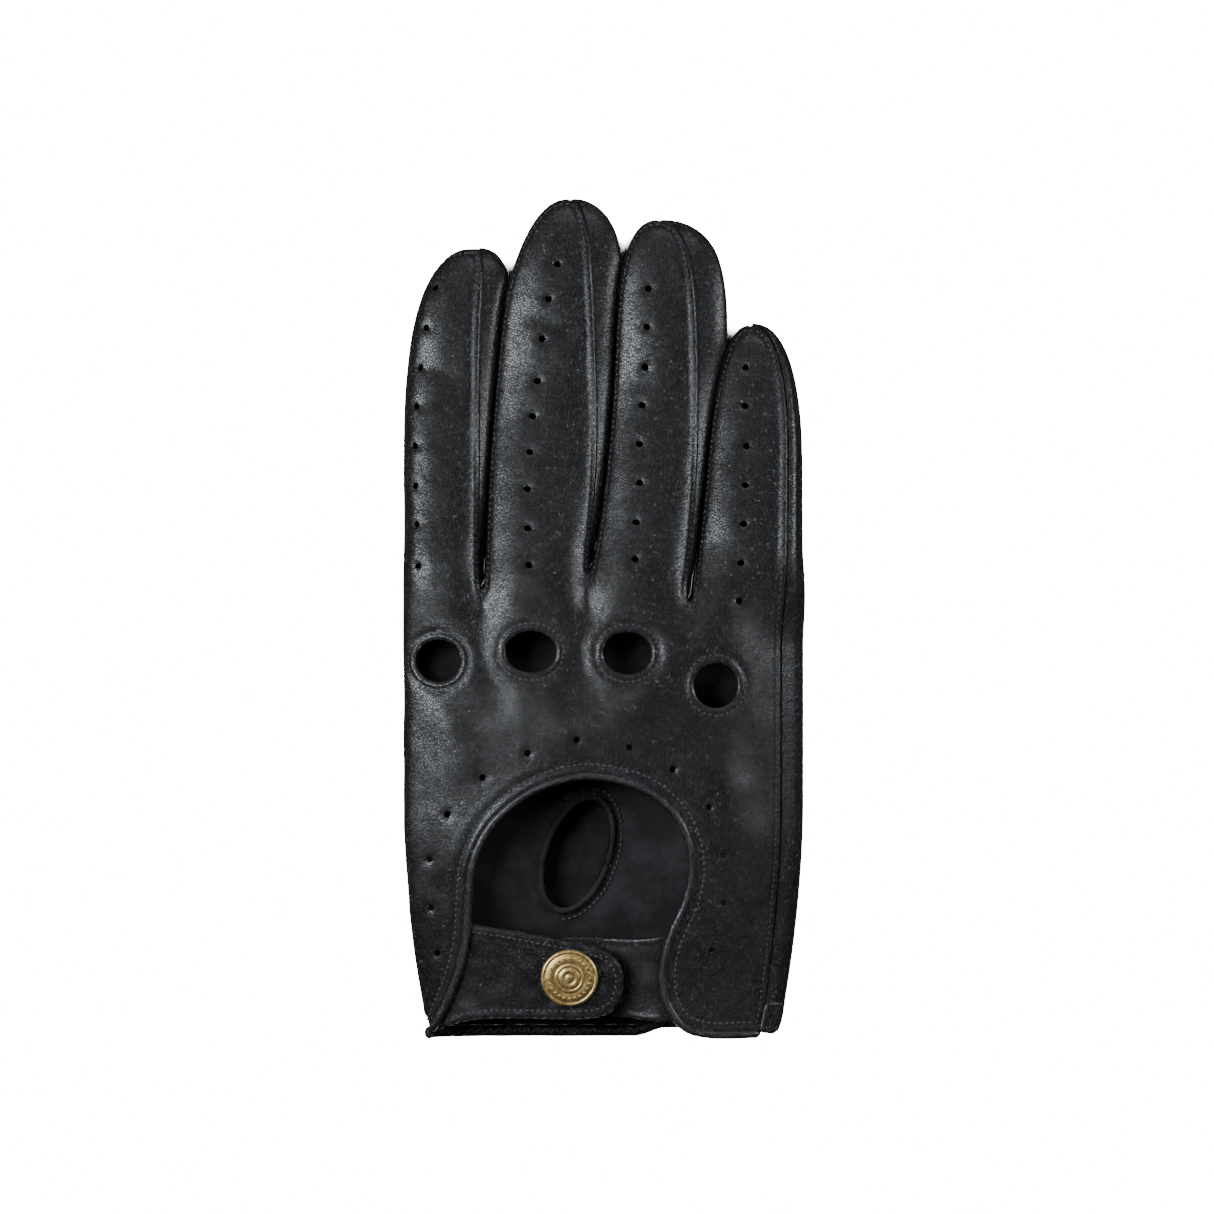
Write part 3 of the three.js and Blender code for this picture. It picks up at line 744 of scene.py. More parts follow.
def split_panel(name, points, triangles, normals, places, materials):
    """One piece for each part of the glove that the panel's triangles are in."""
    both, faces, both_normals, inner = thicken(points, triangles, normals)
    n = len(points)
    face_place = [places[min(k % n for k in f)] for f in faces]
    pieces = {}
    for place in sorted(set(face_place)):
        chosen = [k for k, p in enumerate(face_place) if p == place]
        used = sorted({v for k in chosen for v in faces[k]})
        renumber = {v: k for k, v in enumerate(used)}
        local = [tuple(renumber[v] for v in faces[k]) for k in chosen]
        shows = [inner[k] for k in chosen]
        piece = new_piece(f"{name}_{place}", both[used], local, both_normals[used], materials, shows)
        pieces[place] = join_bodies(piece, place)
    return pieces


def tube_faces(start, rings, around):
    """Four-sided faces between closed rings of points that follow one another."""
    faces = []
    for r in range(rings - 1):
        for k in range(around):
            a = start + r * around + k
            b = start + r * around + (k + 1) % around
            faces.append((a, b, b + around, a + around))
    return faces


def halved(faces):
    """Each four-sided face as two triangles."""
    return np.array([half for a, b, c, d in faces for half in ((a, b, c), (a, c, d))])


print("leather is", LEATHER, "mm thick")

# %% [markdown]
# ## Leather, thread and metal
# The glove is black hair-sheep: very fine grain, a soft sheen, and a slightly greyer bloom where it has
# rubbed. One node group makes the grain, and one makes the rubbed bloom, and each leather sets its own
# amounts. The flesh side inside is matt and fibrous. The stud is antique brass, dark in its hollows.

# %% Node helpers
def group(name, inputs, outputs):
    tree = bpy.data.node_groups.new(name, "ShaderNodeTree")
    for socket, kind, value in inputs:
        made_socket = tree.interface.new_socket(socket, in_out="INPUT", socket_type=kind)
        if value is not None:
            made_socket.default_value = value
    for socket, kind in outputs:
        tree.interface.new_socket(socket, in_out="OUTPUT", socket_type=kind)
    return tree, tree.nodes.new("NodeGroupInput"), tree.nodes.new("NodeGroupOutput")


def node(tree, kind, **settings):
    made_node = tree.nodes.new(kind)
    for key, value in settings.items():
        if key in made_node.bl_rna.properties:
            setattr(made_node, key, value)
        else:
            made_node.inputs[key].default_value = value
    return made_node


def math_node(tree, operation, a, b=None, c=None):
    made_node = tree.nodes.new("ShaderNodeMath")
    made_node.operation = operation
    for k, value in enumerate((a, b, c)):
        if value is None:
            continue
        if isinstance(value, (int, float)):
            made_node.inputs[k].default_value = value
        else:
            tree.links.new(value, made_node.inputs[k])
    return made_node.outputs[0]


def cloud(tree, vector, **settings):
    """A noise texture on this vector."""
    placed = node(tree, "ShaderNodeTexNoise", **settings)
    tree.links.new(vector, placed.inputs["Vector"])
    return placed


def ramp(tree, value, low, high, kind="SMOOTHSTEP"):
    """0 up to low, 1 from high, and a slope between them."""
    placed = node(tree, "ShaderNodeMapRange", interpolation_type=kind)
    placed.inputs["From Min"].default_value = low
    placed.inputs["From Max"].default_value = high
    tree.links.new(value, placed.inputs["Value"])
    return placed.outputs[0]


print("materials before the glove's own:", len(bpy.data.materials))


# %% Shader groups
def grain_group():
    """Fine pebbled grain with pores and soft creases."""
    tree, start, end = group(
        "fine_grain",
        [
            ("Vector", "NodeSocketVector", None),
            ("Cells", "NodeSocketFloat", 1500.0),
            ("Creases", "NodeSocketFloat", 0.5),
        ],
        [("Height", "NodeSocketFloat"), ("Valley", "NodeSocketFloat")],
    )
    link = tree.links.new
    vector = start.outputs["Vector"]
    warp = cloud(tree, vector, Scale=260.0, Detail=2.0)
    shift = node(tree, "ShaderNodeVectorMath", operation="SCALE", Scale=0.0011)
    link(warp.outputs["Color"], shift.inputs[0])
    moved = node(tree, "ShaderNodeVectorMath", operation="ADD")
    link(vector, moved.inputs[0])
    link(shift.outputs[0], moved.inputs[1])
    cells = node(tree, "ShaderNodeTexVoronoi", feature="DISTANCE_TO_EDGE")
    link(moved.outputs[0], cells.inputs["Vector"])
    link(start.outputs["Cells"], cells.inputs["Scale"])
    pebble = ramp(tree, cells.outputs["Distance"], 0.0, 0.16)
    pores = cloud(tree, vector, Scale=2600.0, Detail=3.0)
    soft = cloud(tree, vector, Scale=110.0, Detail=4.0, Roughness=0.6)
    fine = math_node(tree, "MULTIPLY_ADD", pores.outputs["Fac"], 0.35, pebble)
    broad = math_node(tree, "MULTIPLY", soft.outputs["Fac"], start.outputs["Creases"])
    link(math_node(tree, "ADD", fine, broad), end.inputs["Height"])
    link(math_node(tree, "SUBTRACT", 1.0, pebble), end.inputs["Valley"])
    return tree


def wear_group():
    """Where the surface has been handled: patches from noise, and the raised edges."""
    tree, start, end = group(
        "handled",
        [
            ("Vector", "NodeSocketVector", None),
            ("Patches", "NodeSocketFloat", 60.0),
            ("Edges", "NodeSocketFloat", 1.0),
        ],
        [("Mask", "NodeSocketFloat")],
    )
    link = tree.links.new
    patches = cloud(tree, start.outputs["Vector"], Detail=5.0, Roughness=0.65)
    link(start.outputs["Patches"], patches.inputs["Scale"])
    rubbed = ramp(tree, patches.outputs["Fac"], 0.42, 0.72)
    edges = node(tree, "ShaderNodeNewGeometry")
    sharp = ramp(tree, edges.outputs["Pointiness"], 0.5, 0.62, "LINEAR")
    weighted = math_node(tree, "MULTIPLY", sharp, start.outputs["Edges"])
    total = math_node(tree, "ADD", rubbed, weighted)
    link(math_node(tree, "MINIMUM", total, 1.0), end.inputs["Mask"])
    return tree


GRAIN = grain_group()
HANDLED = wear_group()
print("shader groups:", len(bpy.data.node_groups))


# %% Material helpers
def material(name):
    made_material = bpy.data.materials.new(name)
    made_material.use_nodes = True
    tree = made_material.node_tree
    return made_material, tree, tree.nodes["Principled BSDF"]


def coordinates(tree):
    return tree.nodes.new("ShaderNodeTexCoord").outputs["Object"]


def use_group(tree, shared, vector, **values):
    placed = tree.nodes.new("ShaderNodeGroup")
    placed.node_tree = shared
    tree.links.new(vector, placed.inputs["Vector"])
    for key, value in values.items():
        placed.inputs[key].default_value = value
    return placed


def two_tone(tree, mask, dark, light, target):
    blend = node(tree, "ShaderNodeMix", data_type="RGBA")
    blend.inputs[6].default_value = (*dark, 1)
    blend.inputs[7].default_value = (*light, 1)
    tree.links.new(mask, blend.inputs[0])
    tree.links.new(blend.outputs[2], target)


def bump(tree, height, strength, distance, shader):
    placed = node(tree, "ShaderNodeBump", Strength=strength, Distance=distance)
    tree.links.new(height, placed.inputs["Height"])
    tree.links.new(placed.outputs[0], shader.inputs["Normal"])


print("helpers ready for the", GRAIN.name, "and", HANDLED.name, "groups")


# %% Leathers
FINE_BUMP = 0.0002


def black_leather(name, dark, light, rough, strength, cells=1500.0, edges=0.6, creases=0.5):
    """Grain-side leather: smooth on its crests, duller and darker in its valleys, greyer where handled."""
    made_material, tree, shader = material(name)
    vector = coordinates(tree)
    grain = use_group(tree, GRAIN, vector, Cells=cells, Creases=creases)
    worn = use_group(tree, HANDLED, vector, Patches=55.0, Edges=edges)
    two_tone(tree, worn.outputs["Mask"], dark, light, shader.inputs["Base Color"])
    valley = math_node(tree, "MULTIPLY_ADD", grain.outputs["Valley"], 0.14, rough)
    rubbed = math_node(tree, "MULTIPLY_ADD", worn.outputs["Mask"], 0.04, valley)
    tree.links.new(rubbed, shader.inputs["Roughness"])
    bump(tree, grain.outputs["Height"], strength, FINE_BUMP, shader)
    shader.inputs["Specular IOR Level"].default_value = 0.5
    shader.inputs["Coat Weight"].default_value = 0.12
    shader.inputs["Coat Roughness"].default_value = 0.27
    return made_material


def flesh_side():
    """The unlined inside: matt, fibrous and almost black."""
    made_material, tree, shader = material("leather_flesh_side")
    vector = coordinates(tree)
    fibres = cloud(tree, vector, Scale=900.0, Detail=6.0, Roughness=0.75)
    worn = use_group(tree, HANDLED, vector, Patches=90.0, Edges=0.2)
    dark, light = (0.007, 0.007, 0.008), (0.02, 0.02, 0.022)
    two_tone(tree, worn.outputs["Mask"], dark, light, shader.inputs["Base Color"])
    rough = math_node(tree, "MULTIPLY_ADD", fibres.outputs["Fac"], 0.2, 0.72)
    tree.links.new(rough, shader.inputs["Roughness"])
    bump(tree, fibres.outputs["Fac"], 0.7, FINE_BUMP, shader)
    shader.inputs["Specular IOR Level"].default_value = 0.25
    return made_material


OUTER = black_leather(
    "black_leather", (0.0018, 0.002, 0.0025), (0.004, 0.0044, 0.0053), 0.30, 0.9, creases=1.1)
ROLLED = black_leather(
    "rolled_leather", (0.003, 0.0032, 0.0038), (0.009, 0.0095, 0.011), 0.3, 0.5, edges=1.0)
INNER = flesh_side()
print("leathers:", OUTER.name, ROLLED.name, INNER.name)


# %% Thread, metal and tape
def sewing_thread():
    """Twisted polyester thread: a fine diagonal ply and a low shine."""
    made_material, tree, shader = material("black_thread")
    vector = coordinates(tree)
    ply = node(tree, "ShaderNodeTexWave", Scale=1400.0, Distortion=1.0, bands_direction="DIAGONAL")
    tree.links.new(vector, ply.inputs["Vector"])
    dark, light = (0.01, 0.01, 0.012), (0.055, 0.057, 0.062)
    two_tone(tree, ply.outputs["Fac"], dark, light, shader.inputs["Base Color"])
    rough = math_node(tree, "MULTIPLY_ADD", ply.outputs["Fac"], 0.15, 0.42)
    tree.links.new(rough, shader.inputs["Roughness"])
    bump(tree, ply.outputs["Fac"], 0.4, 0.0001, shader)
    return made_material


def metal(name, dark, light, rough, patches, metallic):
    """Plated metal: bright where rubbed, tarnished elsewhere, with fine scratches."""
    made_material, tree, shader = material(name)
    vector = coordinates(tree)
    worn = use_group(tree, HANDLED, vector, Patches=patches, Edges=1.0)
    two_tone(tree, worn.outputs["Mask"], dark, light, shader.inputs["Base Color"])
    scratches = cloud(tree, vector, Scale=1800.0, Detail=4.0)
    rough_here = math_node(tree, "MULTIPLY_ADD", scratches.outputs["Fac"], 0.22, rough - 0.1)
    tree.links.new(rough_here, shader.inputs["Roughness"])
    bump(tree, scratches.outputs["Fac"], 0.15, 0.00005, shader)
    shader.inputs["Metallic"].default_value = metallic
    return made_material


def woven_tape():
    """Elastic tape: close ribs across its length."""
    made_material, tree, shader = material("black_elastic")
    vector = coordinates(tree)
    ribs = node(tree, "ShaderNodeTexWave", Scale=900.0, Distortion=0.4, bands_direction="X")
    tree.links.new(vector, ribs.inputs["Vector"])
    dark, light = (0.006, 0.006, 0.006), (0.022, 0.022, 0.023)
    two_tone(tree, ribs.outputs["Fac"], dark, light, shader.inputs["Base Color"])
    rough = math_node(tree, "MULTIPLY_ADD", ribs.outputs["Fac"], 0.1, 0.8)
    tree.links.new(rough, shader.inputs["Roughness"])
    bump(tree, ribs.outputs["Fac"], 0.8, FINE_BUMP, shader)
    return made_material


THREAD = sewing_thread()
BRASS = metal("antique_brass", (0.26, 0.17, 0.062), (0.62, 0.44, 0.17), 0.38, 900.0, 0.85)
STEEL = metal("plated_steel", (0.2, 0.2, 0.2), (0.5, 0.5, 0.5), 0.32, 300.0, 1.0)
TAPE = woven_tape()
print("materials:", len(bpy.data.materials))

# %% [markdown]
# ## The back
# One hide panel makes the whole back of the hand and all four finger backs. Its edges are turned and
# top-stitched; the air holes are punched right through; each knuckle hole has a raised, stitched rim.

# %% Back panel
EDGE_ROWS = np.array([0.45, 0.95, 1.5, 2.1, 3.0])
BACK_SPACING = 1.25
holes = [oval(*h, RIM_POINTS) for h in KNUCKLE_HOLES]
air = [(x, y, AIR_RADIUS) for row in AIR_HOLES for x, y in row]
back_loop = outline(top=True)
back_flat, back_triangles = triangulate(back_loop, holes, BACK_SPACING, EDGE_ROWS, air)
seam_line = back_loop[: len(back_loop) - len(keyhole_line)]


def back_height(flat):
    """Millimetres that the outer face of the back stands off the form."""
    seam = distance_to(flat, [seam_line])
    key = distance_to(flat, [keyhole_line])
    hole = distance_to(flat, [closed(h) for h in holes])
    punched = np.min([np.hypot(flat[:, 0] - x, flat[:, 1] - y) for x, y, _ in air], 0)
    height = stitched_edge(seam)
    height += -0.2 * bell(key, 3.1, 0.4) + 0.2 * bell(key, 1.7, 0.8) + 0.12 * bell(key, 4.8, 1.3)
    height += turned_edge(hole, 0.7, 0.4) + 0.1 * bell(hole, 0.95, 0.6) - 0.34 * bell(hole, 2.0, 0.35)
    height += 0.08 * bell(hole, 3.3, 1.1) - 0.3 * np.exp(-(((punched - AIR_RADIUS) / 0.55) ** 2))
    calm = smooth(1.5, 6, np.minimum(np.minimum(seam, key), hole))
    height += crease_height(flat) * (0.3 + 0.7 * calm)
    waves = 0.5 * ripple(spots(flat), 21, 3) + 0.14 * ripple(spots(flat), 7.5, 11)
    height += waves * (0.25 + 0.75 * calm)
    return height


back_points, back_triangles, back_normals = outward(
    lay_all(back_flat), back_triangles, back_height(back_flat), (0, 0, 1))
back_tree = plan_tree(back_flat)
back = split_panel("back", back_points, back_triangles, back_normals, places_of(back_flat), [OUTER, INNER])
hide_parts("back_panel")
for f in FINGERS:
    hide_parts(f + "_lower_back")
    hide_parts(f + "_upper_back")
print("back panel:", len(back_flat), "points,", len(back_triangles), "triangles, in", len(back), "parts")

# %% [markdown]
# ## Palm and finger fronts
# The palm is cut like the back, with the same slots, and one oval hole that the thumb is set into. Its
# inside is what shows through the keyhole, so the seam round the thumb hole is modelled there as well.

# %% Palm panel
THUMB_HOLE = (-7, 48.5)
THUMB_HOLE_SIZE = (7.4, 14.6)
THUMB_ANGLE = math.radians(20)
PALM_ROWS = np.array([0.5, 1.0, 1.5, 2.2])
PALM_SPACING = 2.1


def thumb_oval(grow, count):
    """The oval of the thumb hole, tilted with the thumb, this much larger all round."""
    turn = np.linspace(0, 2 * math.pi, count, endpoint=False)
    ahead = np.array([math.sin(THUMB_ANGLE), math.cos(THUMB_ANGLE)])
    side = np.array([ahead[1], -ahead[0]])
    across = (THUMB_HOLE_SIZE[0] + grow) * np.cos(turn)
    along = (THUMB_HOLE_SIZE[1] + grow) * np.sin(turn)
    return np.array(THUMB_HOLE) + across[:, None] * side + along[:, None] * ahead


palm_hole = thumb_oval(0, 48)
palm_loop = outline(top=False)
palm_flat, palm_triangles = triangulate(palm_loop, [palm_hole], PALM_SPACING, PALM_ROWS)


def palm_height(flat):
    """Millimetres that the outer face of the palm stands off the form."""
    seam = distance_to(flat, [closed(palm_loop)])
    hole = distance_to(flat, [closed(palm_hole)])
    waves = 0.35 * ripple(spots(flat), 17, 5) * smooth(1, 6, seam)
    return stitched_edge(seam) + stitched_edge(hole) + waves


palm_points, palm_triangles, palm_normals = outward(
    lay_all(palm_flat, top=False), palm_triangles, palm_height(palm_flat), (0, 0, -1))
palm = split_panel("palm", palm_points, palm_triangles, palm_normals, places_of(palm_flat), [OUTER, INNER])
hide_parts("palm_panel")
for f in FINGERS:
    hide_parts(f + "_lower_palm")
    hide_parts(f + "_upper_palm")
print("palm:", len(palm_flat), "points in", len(palm), "parts")

# %% [markdown]
# ## Fourchettes and side strip
# A fourchette is a long forked strip. It fills the side of one finger, turns round the web at the bottom of
# the slot and goes up the side of the next. Its long edges follow the cut edges of back and palm, and
# between them it bulges with the finger. The strip along the little finger is made the same way.

# %% Strips between back and palm
STRIP_COLUMNS = 10
TUCK = 0.5
MOST_GAP = 4.4
# Share of the gap between fingers, and extra puff, of the leather on a finger's right (1) and left (-1).
PUFF = {1: (0.84, 0.45), -1: (0.02, 0.25)}


def bowed(section, first, last, t):
    """How far a section stands out past the straight line between two of its angles."""
    return section(mix(first, last, t)) - mix(section(first), section(last), t)


def strip_rows(line_top, line_palm, columns, angles, bulge):
    """Points across a strip, from the back's edge to the palm's edge, for each height."""
    rows = []
    for t in np.linspace(0, 1, STRIP_COLUMNS):
        points = np.zeros((len(line_top), 3))
        for i in sorted(set(columns)):
            k = columns == i
            top = lay(i, line_top[k, 0], line_top[k, 1], True)
            low = lay(i, line_palm[k, 0], line_palm[k, 1], False)
            section = partial(finger_point, i, line_top[k, 1])
            bow = bowed(section, angles[0][k], angles[1][k], t)
            points[k] = mix(top, low, t) + bow * bulge[k][:, None]
        rows.append(points)
    return np.stack(rows, 1)


def grid_triangles(rows, columns_count):
    """Triangles between the rows and columns of a sheet of points."""
    faces = []
    for r in range(rows - 1):
        for c in range(columns_count - 1):
            a = r * columns_count + c
            b, d = a + 1, a + columns_count
            faces += [(a, b, d + 1), (a, d + 1, d)]
    return np.array(faces)


def spread(i, y, side):
    """How far a side strip puffs out into the gap beside finger i."""
    j = i + side
    x0, _, a0, _ = finger_section(i, y)
    x1, _, a1, _ = finger_section(j, y)
    gap = np.clip(np.abs(x1 - x0) - a0 - a1, 0, MOST_GAP)
    near_tip = np.clip((HAND_LENGTH + REACH[i] - y) / 11, 0, 1)
    rounded = np.sqrt(1 - (1 - near_tip) ** 2)
    share, extra = PUFF[side]
    return (share * gap + extra) * rounded * smooth(WEB[min(i, j)] - 0.5, WEB[min(i, j)] + 2.5, y)


def fourchette(j):
    """The strip in the slot between fingers j - 1 and j, made as one and split where the bodies meet."""
    i = j - 1
    top, low = slot(j, True), slot(j, False)
    half = len(finger_heights(i, WEB[i] + 1.2)) + 2
    columns = np.where(np.arange(len(top)) <= half, i, j)
    y = top[:, 1]
    right, left = columns == i, columns == j
    first, last = np.zeros(len(top)), np.zeros(len(top))
    first[right], last[right] = seam_angles(i, y[right], True)[1], seam_angles(i, y[right], False)[1] - 360
    first[left], last[left] = seam_angles(j, y[left], True)[0], seam_angles(j, y[left], False)[0]
    bulge = knit(y) * smooth(WEB[i], WEB[i] + 9, y)
    points = strip_rows(top, low, columns, (first, last), bulge)
    puff = np.where(right, spread(i, y, 1), -spread(j, y, -1))
    arch = np.sin(math.pi * np.linspace(0, 1, STRIP_COLUMNS))
    points[:, :, 0] += puff[:, None] * arch[None] ** 0.6
    points = points.reshape(-1, 3)
    triangles = grid_triangles(len(top), STRIP_COLUMNS)
    normals = normals_of(points, triangles)
    third = len(points) // 3
    if normals[:third, 0].mean() < 0:
        triangles, normals = triangles[:, ::-1], -normals
    points = points - normals * (TUCK - 0.35 * np.tile(arch, len(top)))[:, None]
    normals = normals_of(points, triangles)
    places = [region(int(c), h) for c, h in zip(columns, y) for _ in range(STRIP_COLUMNS)]
    made_parts = split_panel(f"fourchette_{j}", points, triangles, normals, places, [OUTER, INNER])
    a, b = FINGERS[i], FINGERS[j]
    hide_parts(a + "_lower_right_fourchette", f"web_{a}_{b}")
    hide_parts(a + "_upper_right_fourchette")
    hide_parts(b + "_lower_left_fourchette")
    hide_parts(b + "_upper_left_fourchette")


for j in (1, 2, 3):
    fourchette(j)
print("fourchettes:", sum(name.startswith("fourchette") for name in made), "parts")

# %% Side strip
SIDE_COLUMNS = 15
SIDE_START = 9.5


def side_strip():
    """The strip down the little finger and the hand, with a soft ridge along each of its seams."""
    y = np.concatenate([np.arange(SIDE_START, HAND_LENGTH, 1.0), finger_heights(3, HAND_LENGTH)])
    top = np.stack([cut_edges(3, y, True)[1], y], -1)
    low = np.stack([cut_edges(3, y, False)[1], y], -1)
    on_the_hand = y < HAND_LENGTH - TURN_ROWS
    top[:, 0] = np.where(on_the_hand, hand_edge(y, True, True), top[:, 0])
    low[:, 0] = np.where(on_the_hand, hand_edge(y, False, True), low[:, 0])
    first, last = seam_angles(3, y, True)[1], seam_angles(3, y, False)[1] - 360
    rows = []
    for t in np.linspace(0, 1, SIDE_COLUMNS):
        ends = mix(lay(3, top[:, 0], y, True), lay(3, low[:, 0], y, False), t)
        hand_bulge = bowed(partial(hand_point, y), SIDE_SEAM, -SIDE_SEAM, t)
        finger_bulge = bowed(partial(finger_point, 3, y), first, last, t)
        k = knit(y)[:, None]
        rows.append(ends + hand_bulge * (1 - k) + finger_bulge * k)
    points = np.stack(rows, 1).reshape(-1, 3)
    triangles = grid_triangles(len(y), SIDE_COLUMNS)
    across = np.tile(np.linspace(0, 1, SIDE_COLUMNS), len(y))
    ridges = 0.5 * bell(across, 0.14, 0.09) + 0.5 * bell(across, 0.42, 0.12) + 0.3 * bell(across, 0.8, 0.12)
    ridges -= 0.25
    points, triangles, normals = outward(points, triangles, ridges, (1, 0, 0))
    places = [region(3, h) for h in np.repeat(y, SIDE_COLUMNS)]
    made_parts = split_panel("side_strip", points, triangles, normals, places, [OUTER, INNER])
    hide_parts("outer_side_strip")
    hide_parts("little_lower_side_strip")
    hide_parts("little_upper_side_strip")


side_strip()
print("side strip:", sum(name.startswith("side_strip") for name in made), "parts")

# %% [markdown]
# ## Rolled edges
# The keyhole is bound with a narrow strip of leather rolled over the cut edge, and the palm side of the
# cuff ends in a flat hem. Both are a rounded section swept along a line, with its size varied a little as a
# hand-rolled edge is.

# %% Binding and hem
def sweep(name, line, across, high, materials, seed, sides=14, wobble=0.05):
    """A rounded section along a line of points, closed at both ends."""
    n = len(line)
    tangent = np.gradient(line, axis=0)
    tangent /= np.linalg.norm(tangent, axis=1)[:, None]
    side = np.cross(tangent, (0, 0, 1))
    side /= np.linalg.norm(side, axis=1)[:, None]
    up = np.cross(side, tangent)
    turn = np.linspace(0, 2 * math.pi, sides, endpoint=False)
    grow = 1 + wobble * ripple(line, 4.5, seed)
    taper = np.sqrt(np.clip(np.minimum(np.arange(n), n - 1 - np.arange(n)) / 1.2 + 0.15, 0, 1))
    rings = (
        line[:, None]
        + side[:, None] * (np.cos(turn) * across)[None, :, None] * (grow * taper)[:, None, None]
        + up[:, None] * (np.sin(turn) * high)[None, :, None] * (grow * taper)[:, None, None]
    )
    points = rings.reshape(-1, 3)
    faces = tube_faces(0, n, sides)
    faces += [tuple(range(sides))[::-1], tuple(range((n - 1) * sides, n * sides))]
    return new_piece(name, points, faces, None, materials)


def plan_to_top(line, sink):
    """A flat line laid on the back, this far below the form."""
    top = on_hand(line[:, 0], line[:, 1], True)
    top[:, 2] -= sink
    return top


binding = sweep("keyhole_edge", plan_to_top(keyhole_line, 0.25), 1.1, 0.95, [ROLLED], 2)
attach(binding, "hand")
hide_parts("keyhole_binding")

HEM_TURN = (168, 334)
HEM_POINTS = 124
HEM_SEWN = slice(32, 106)
hem_turn = np.linspace(*HEM_TURN, HEM_POINTS)
hem_line = hand_point(np.full(HEM_POINTS, 2.0), hem_turn)
hem_line[:, 2] = np.maximum(1.05, hem_line[:, 2] + 0.9 * smooth(180, 200, hem_turn))
hem_line[:, 1] = 1.6 + 2.2 * smooth(8, 16, hem_line[:, 0])
hem = sweep("palm_hem", hem_line, 1.5, 0.9, [OUTER], 8)
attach(hem, "hand")
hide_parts("cuff_hem")
print("binding:", len(keyhole_line), "sections; hem:", len(hem_line))


# %% Facings and the thumb hole's seam
FACING_RINGS = 4
FACING_REACH = 3.0


def facing(f, x, y, rx, ry):
    """A soft ring sewn under a knuckle hole."""
    reach = min(FACING_REACH, x + HALF - rx - 1.2)
    rings = [oval(x, y, rx + grow, ry + grow, RIM_POINTS) for grow in np.linspace(0.1, reach, FACING_RINGS)]
    base = lay_all(np.vstack(rings))
    faces = halved(tube_faces(0, FACING_RINGS, RIM_POINTS))
    base, faces, normals = outward(base, faces, np.zeros(len(base)), (0, 0, 1))
    points, faces, normals, _ = thicken(base - normals * (LEATHER + 0.12), faces, normals, 0.6)
    piece = new_piece(f"facing_{f}", points, faces, normals, [INNER])
    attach(piece, "hand")
    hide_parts(f"knuckle_facing_{f}")


for f, hole in zip(FINGERS, KNUCKLE_HOLES):
    facing(f, *hole)

hole_ring = lay_all(thumb_oval(1.0, 90), top=False)
hole_ring[:, 2] += 1.5
seam_ridge = sweep("thumb_seam_allowance", closed(hole_ring), 0.9, 0.75, [INNER], 4, 8, 0.2)
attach(seam_ridge, "hand")
print("facings:", len(KNUCKLE_HOLES))

# %% [markdown]
# ## Strap and underlap
# Both are two layers of leather turned in at the edges, so they are plump, with rounded edges and a row of
# stitches. A pad is made from its plan outline: flat triangles, raised to a surface, with a crowned
# top and bottom that meet at the rounded edge. The strap starts under the binding and dips there.

# %% Padded straps
STRAP_LINE = [
    (-38.5, 31.2), (-33, 30.4), (-24, 29), (-15.6, 27.4), (-8.3, 26), (-0.9, 24), (3.5, 21.2), (5.3, 17),
    (4.9, 12.3), (3, 8.6), (-0.5, 6.4), (-6.2, 5.6), (-21.9, 5.8), (-31.4, 5.6), (-38, 4.4), (-44.5, 2.4),
    (-45, 6), (-42, 18),
]
UNDERLAP_LINE = [
    (-17, 26), (-8, 27), (8, 26.6), (24, 27.5), (25.5, 16), (24.5, 5.2), (14, 5), (4, 6), (-10, 6.6),
    (-17.5, 7), (-19, 16),
]
PAD_ROWS = np.array([0.25, 0.6, 1.1, 1.7, 2.4])
SNAP = (-8.9, 16.6)


def pad(name, line, spacing, middle, thickness, edge_radius, relief, materials):
    """A crowned, closed pad over a plan outline. middle gives the height of its middle layer."""
    loop = spline([*line, line[0]], 0.9)[:-1]
    area = 0.5 * np.sum(loop[:, 0] * np.roll(loop[:, 1], -1) - np.roll(loop[:, 0], -1) * loop[:, 1])
    if area < 0:
        loop = loop[::-1]
    flat, triangles = triangulate(loop, [], spacing, PAD_ROWS)
    away = distance_to(flat, [closed(loop)])
    core = np.c_[flat, middle(flat[:, 0], flat[:, 1])]
    normals = normals_of(core, triangles)
    if normals[:, 2].mean() < 0:
        triangles, normals = triangles[:, ::-1], -normals
    roll = np.sqrt(np.clip(1 - (1 - np.minimum(1, away / edge_radius)) ** 2, 0, 1))
    half = thickness / 2 * (0.08 + 0.92 * roll)
    outer = core + normals * (half + relief(flat, away))[:, None]
    under = core - normals * half[:, None]
    faces, inner = shell_faces(triangles, len(flat))
    piece = new_piece(name, np.vstack([outer, under]), faces, None, materials, inner)
    return piece, loop, flat, outer, normals


def top_height(x, y):
    return on_hand(x, y, True)[:, 2]


def strap_middle(x, y):
    return top_height(np.maximum(x, -43), y) - 2.35 - 0.5 * (1 - smooth(-38, -33, x))


def strap_relief(flat, away):
    """Wrinkles that run out from the snap, a dent round it and the groove of the stitches."""
    r = np.hypot(flat[:, 0] - SNAP[0], flat[:, 1] - SNAP[1])
    spin = np.arctan2(flat[:, 1] - SNAP[1], flat[:, 0] - SNAP[0])
    rays = 0.16 * np.sin(spin * 9 + 2.5 * ripple(spots(flat), 9, 1)) * bell(r, 10, 3)
    waves = 0.28 * ripple(spots(flat), 5, 7) * smooth(8, 12, r)
    pressed = 0.2 * bell(r, 7.6, 1.2) * (r > 6)
    return rays + waves - 0.22 * bell(away, 2.1, 0.35) - pressed


def underlap_middle(x, y):
    """The underlap dips below the strap, to leave room for the stud."""
    dip = 6 * (1 - smooth(-1.3, 16, x))
    return top_height(x, y) - 2.45 - dip


def underlap_relief(flat, away):
    return 0.2 * ripple(spots(flat), 6, 9) - 0.18 * bell(away, 2.0, 0.35)


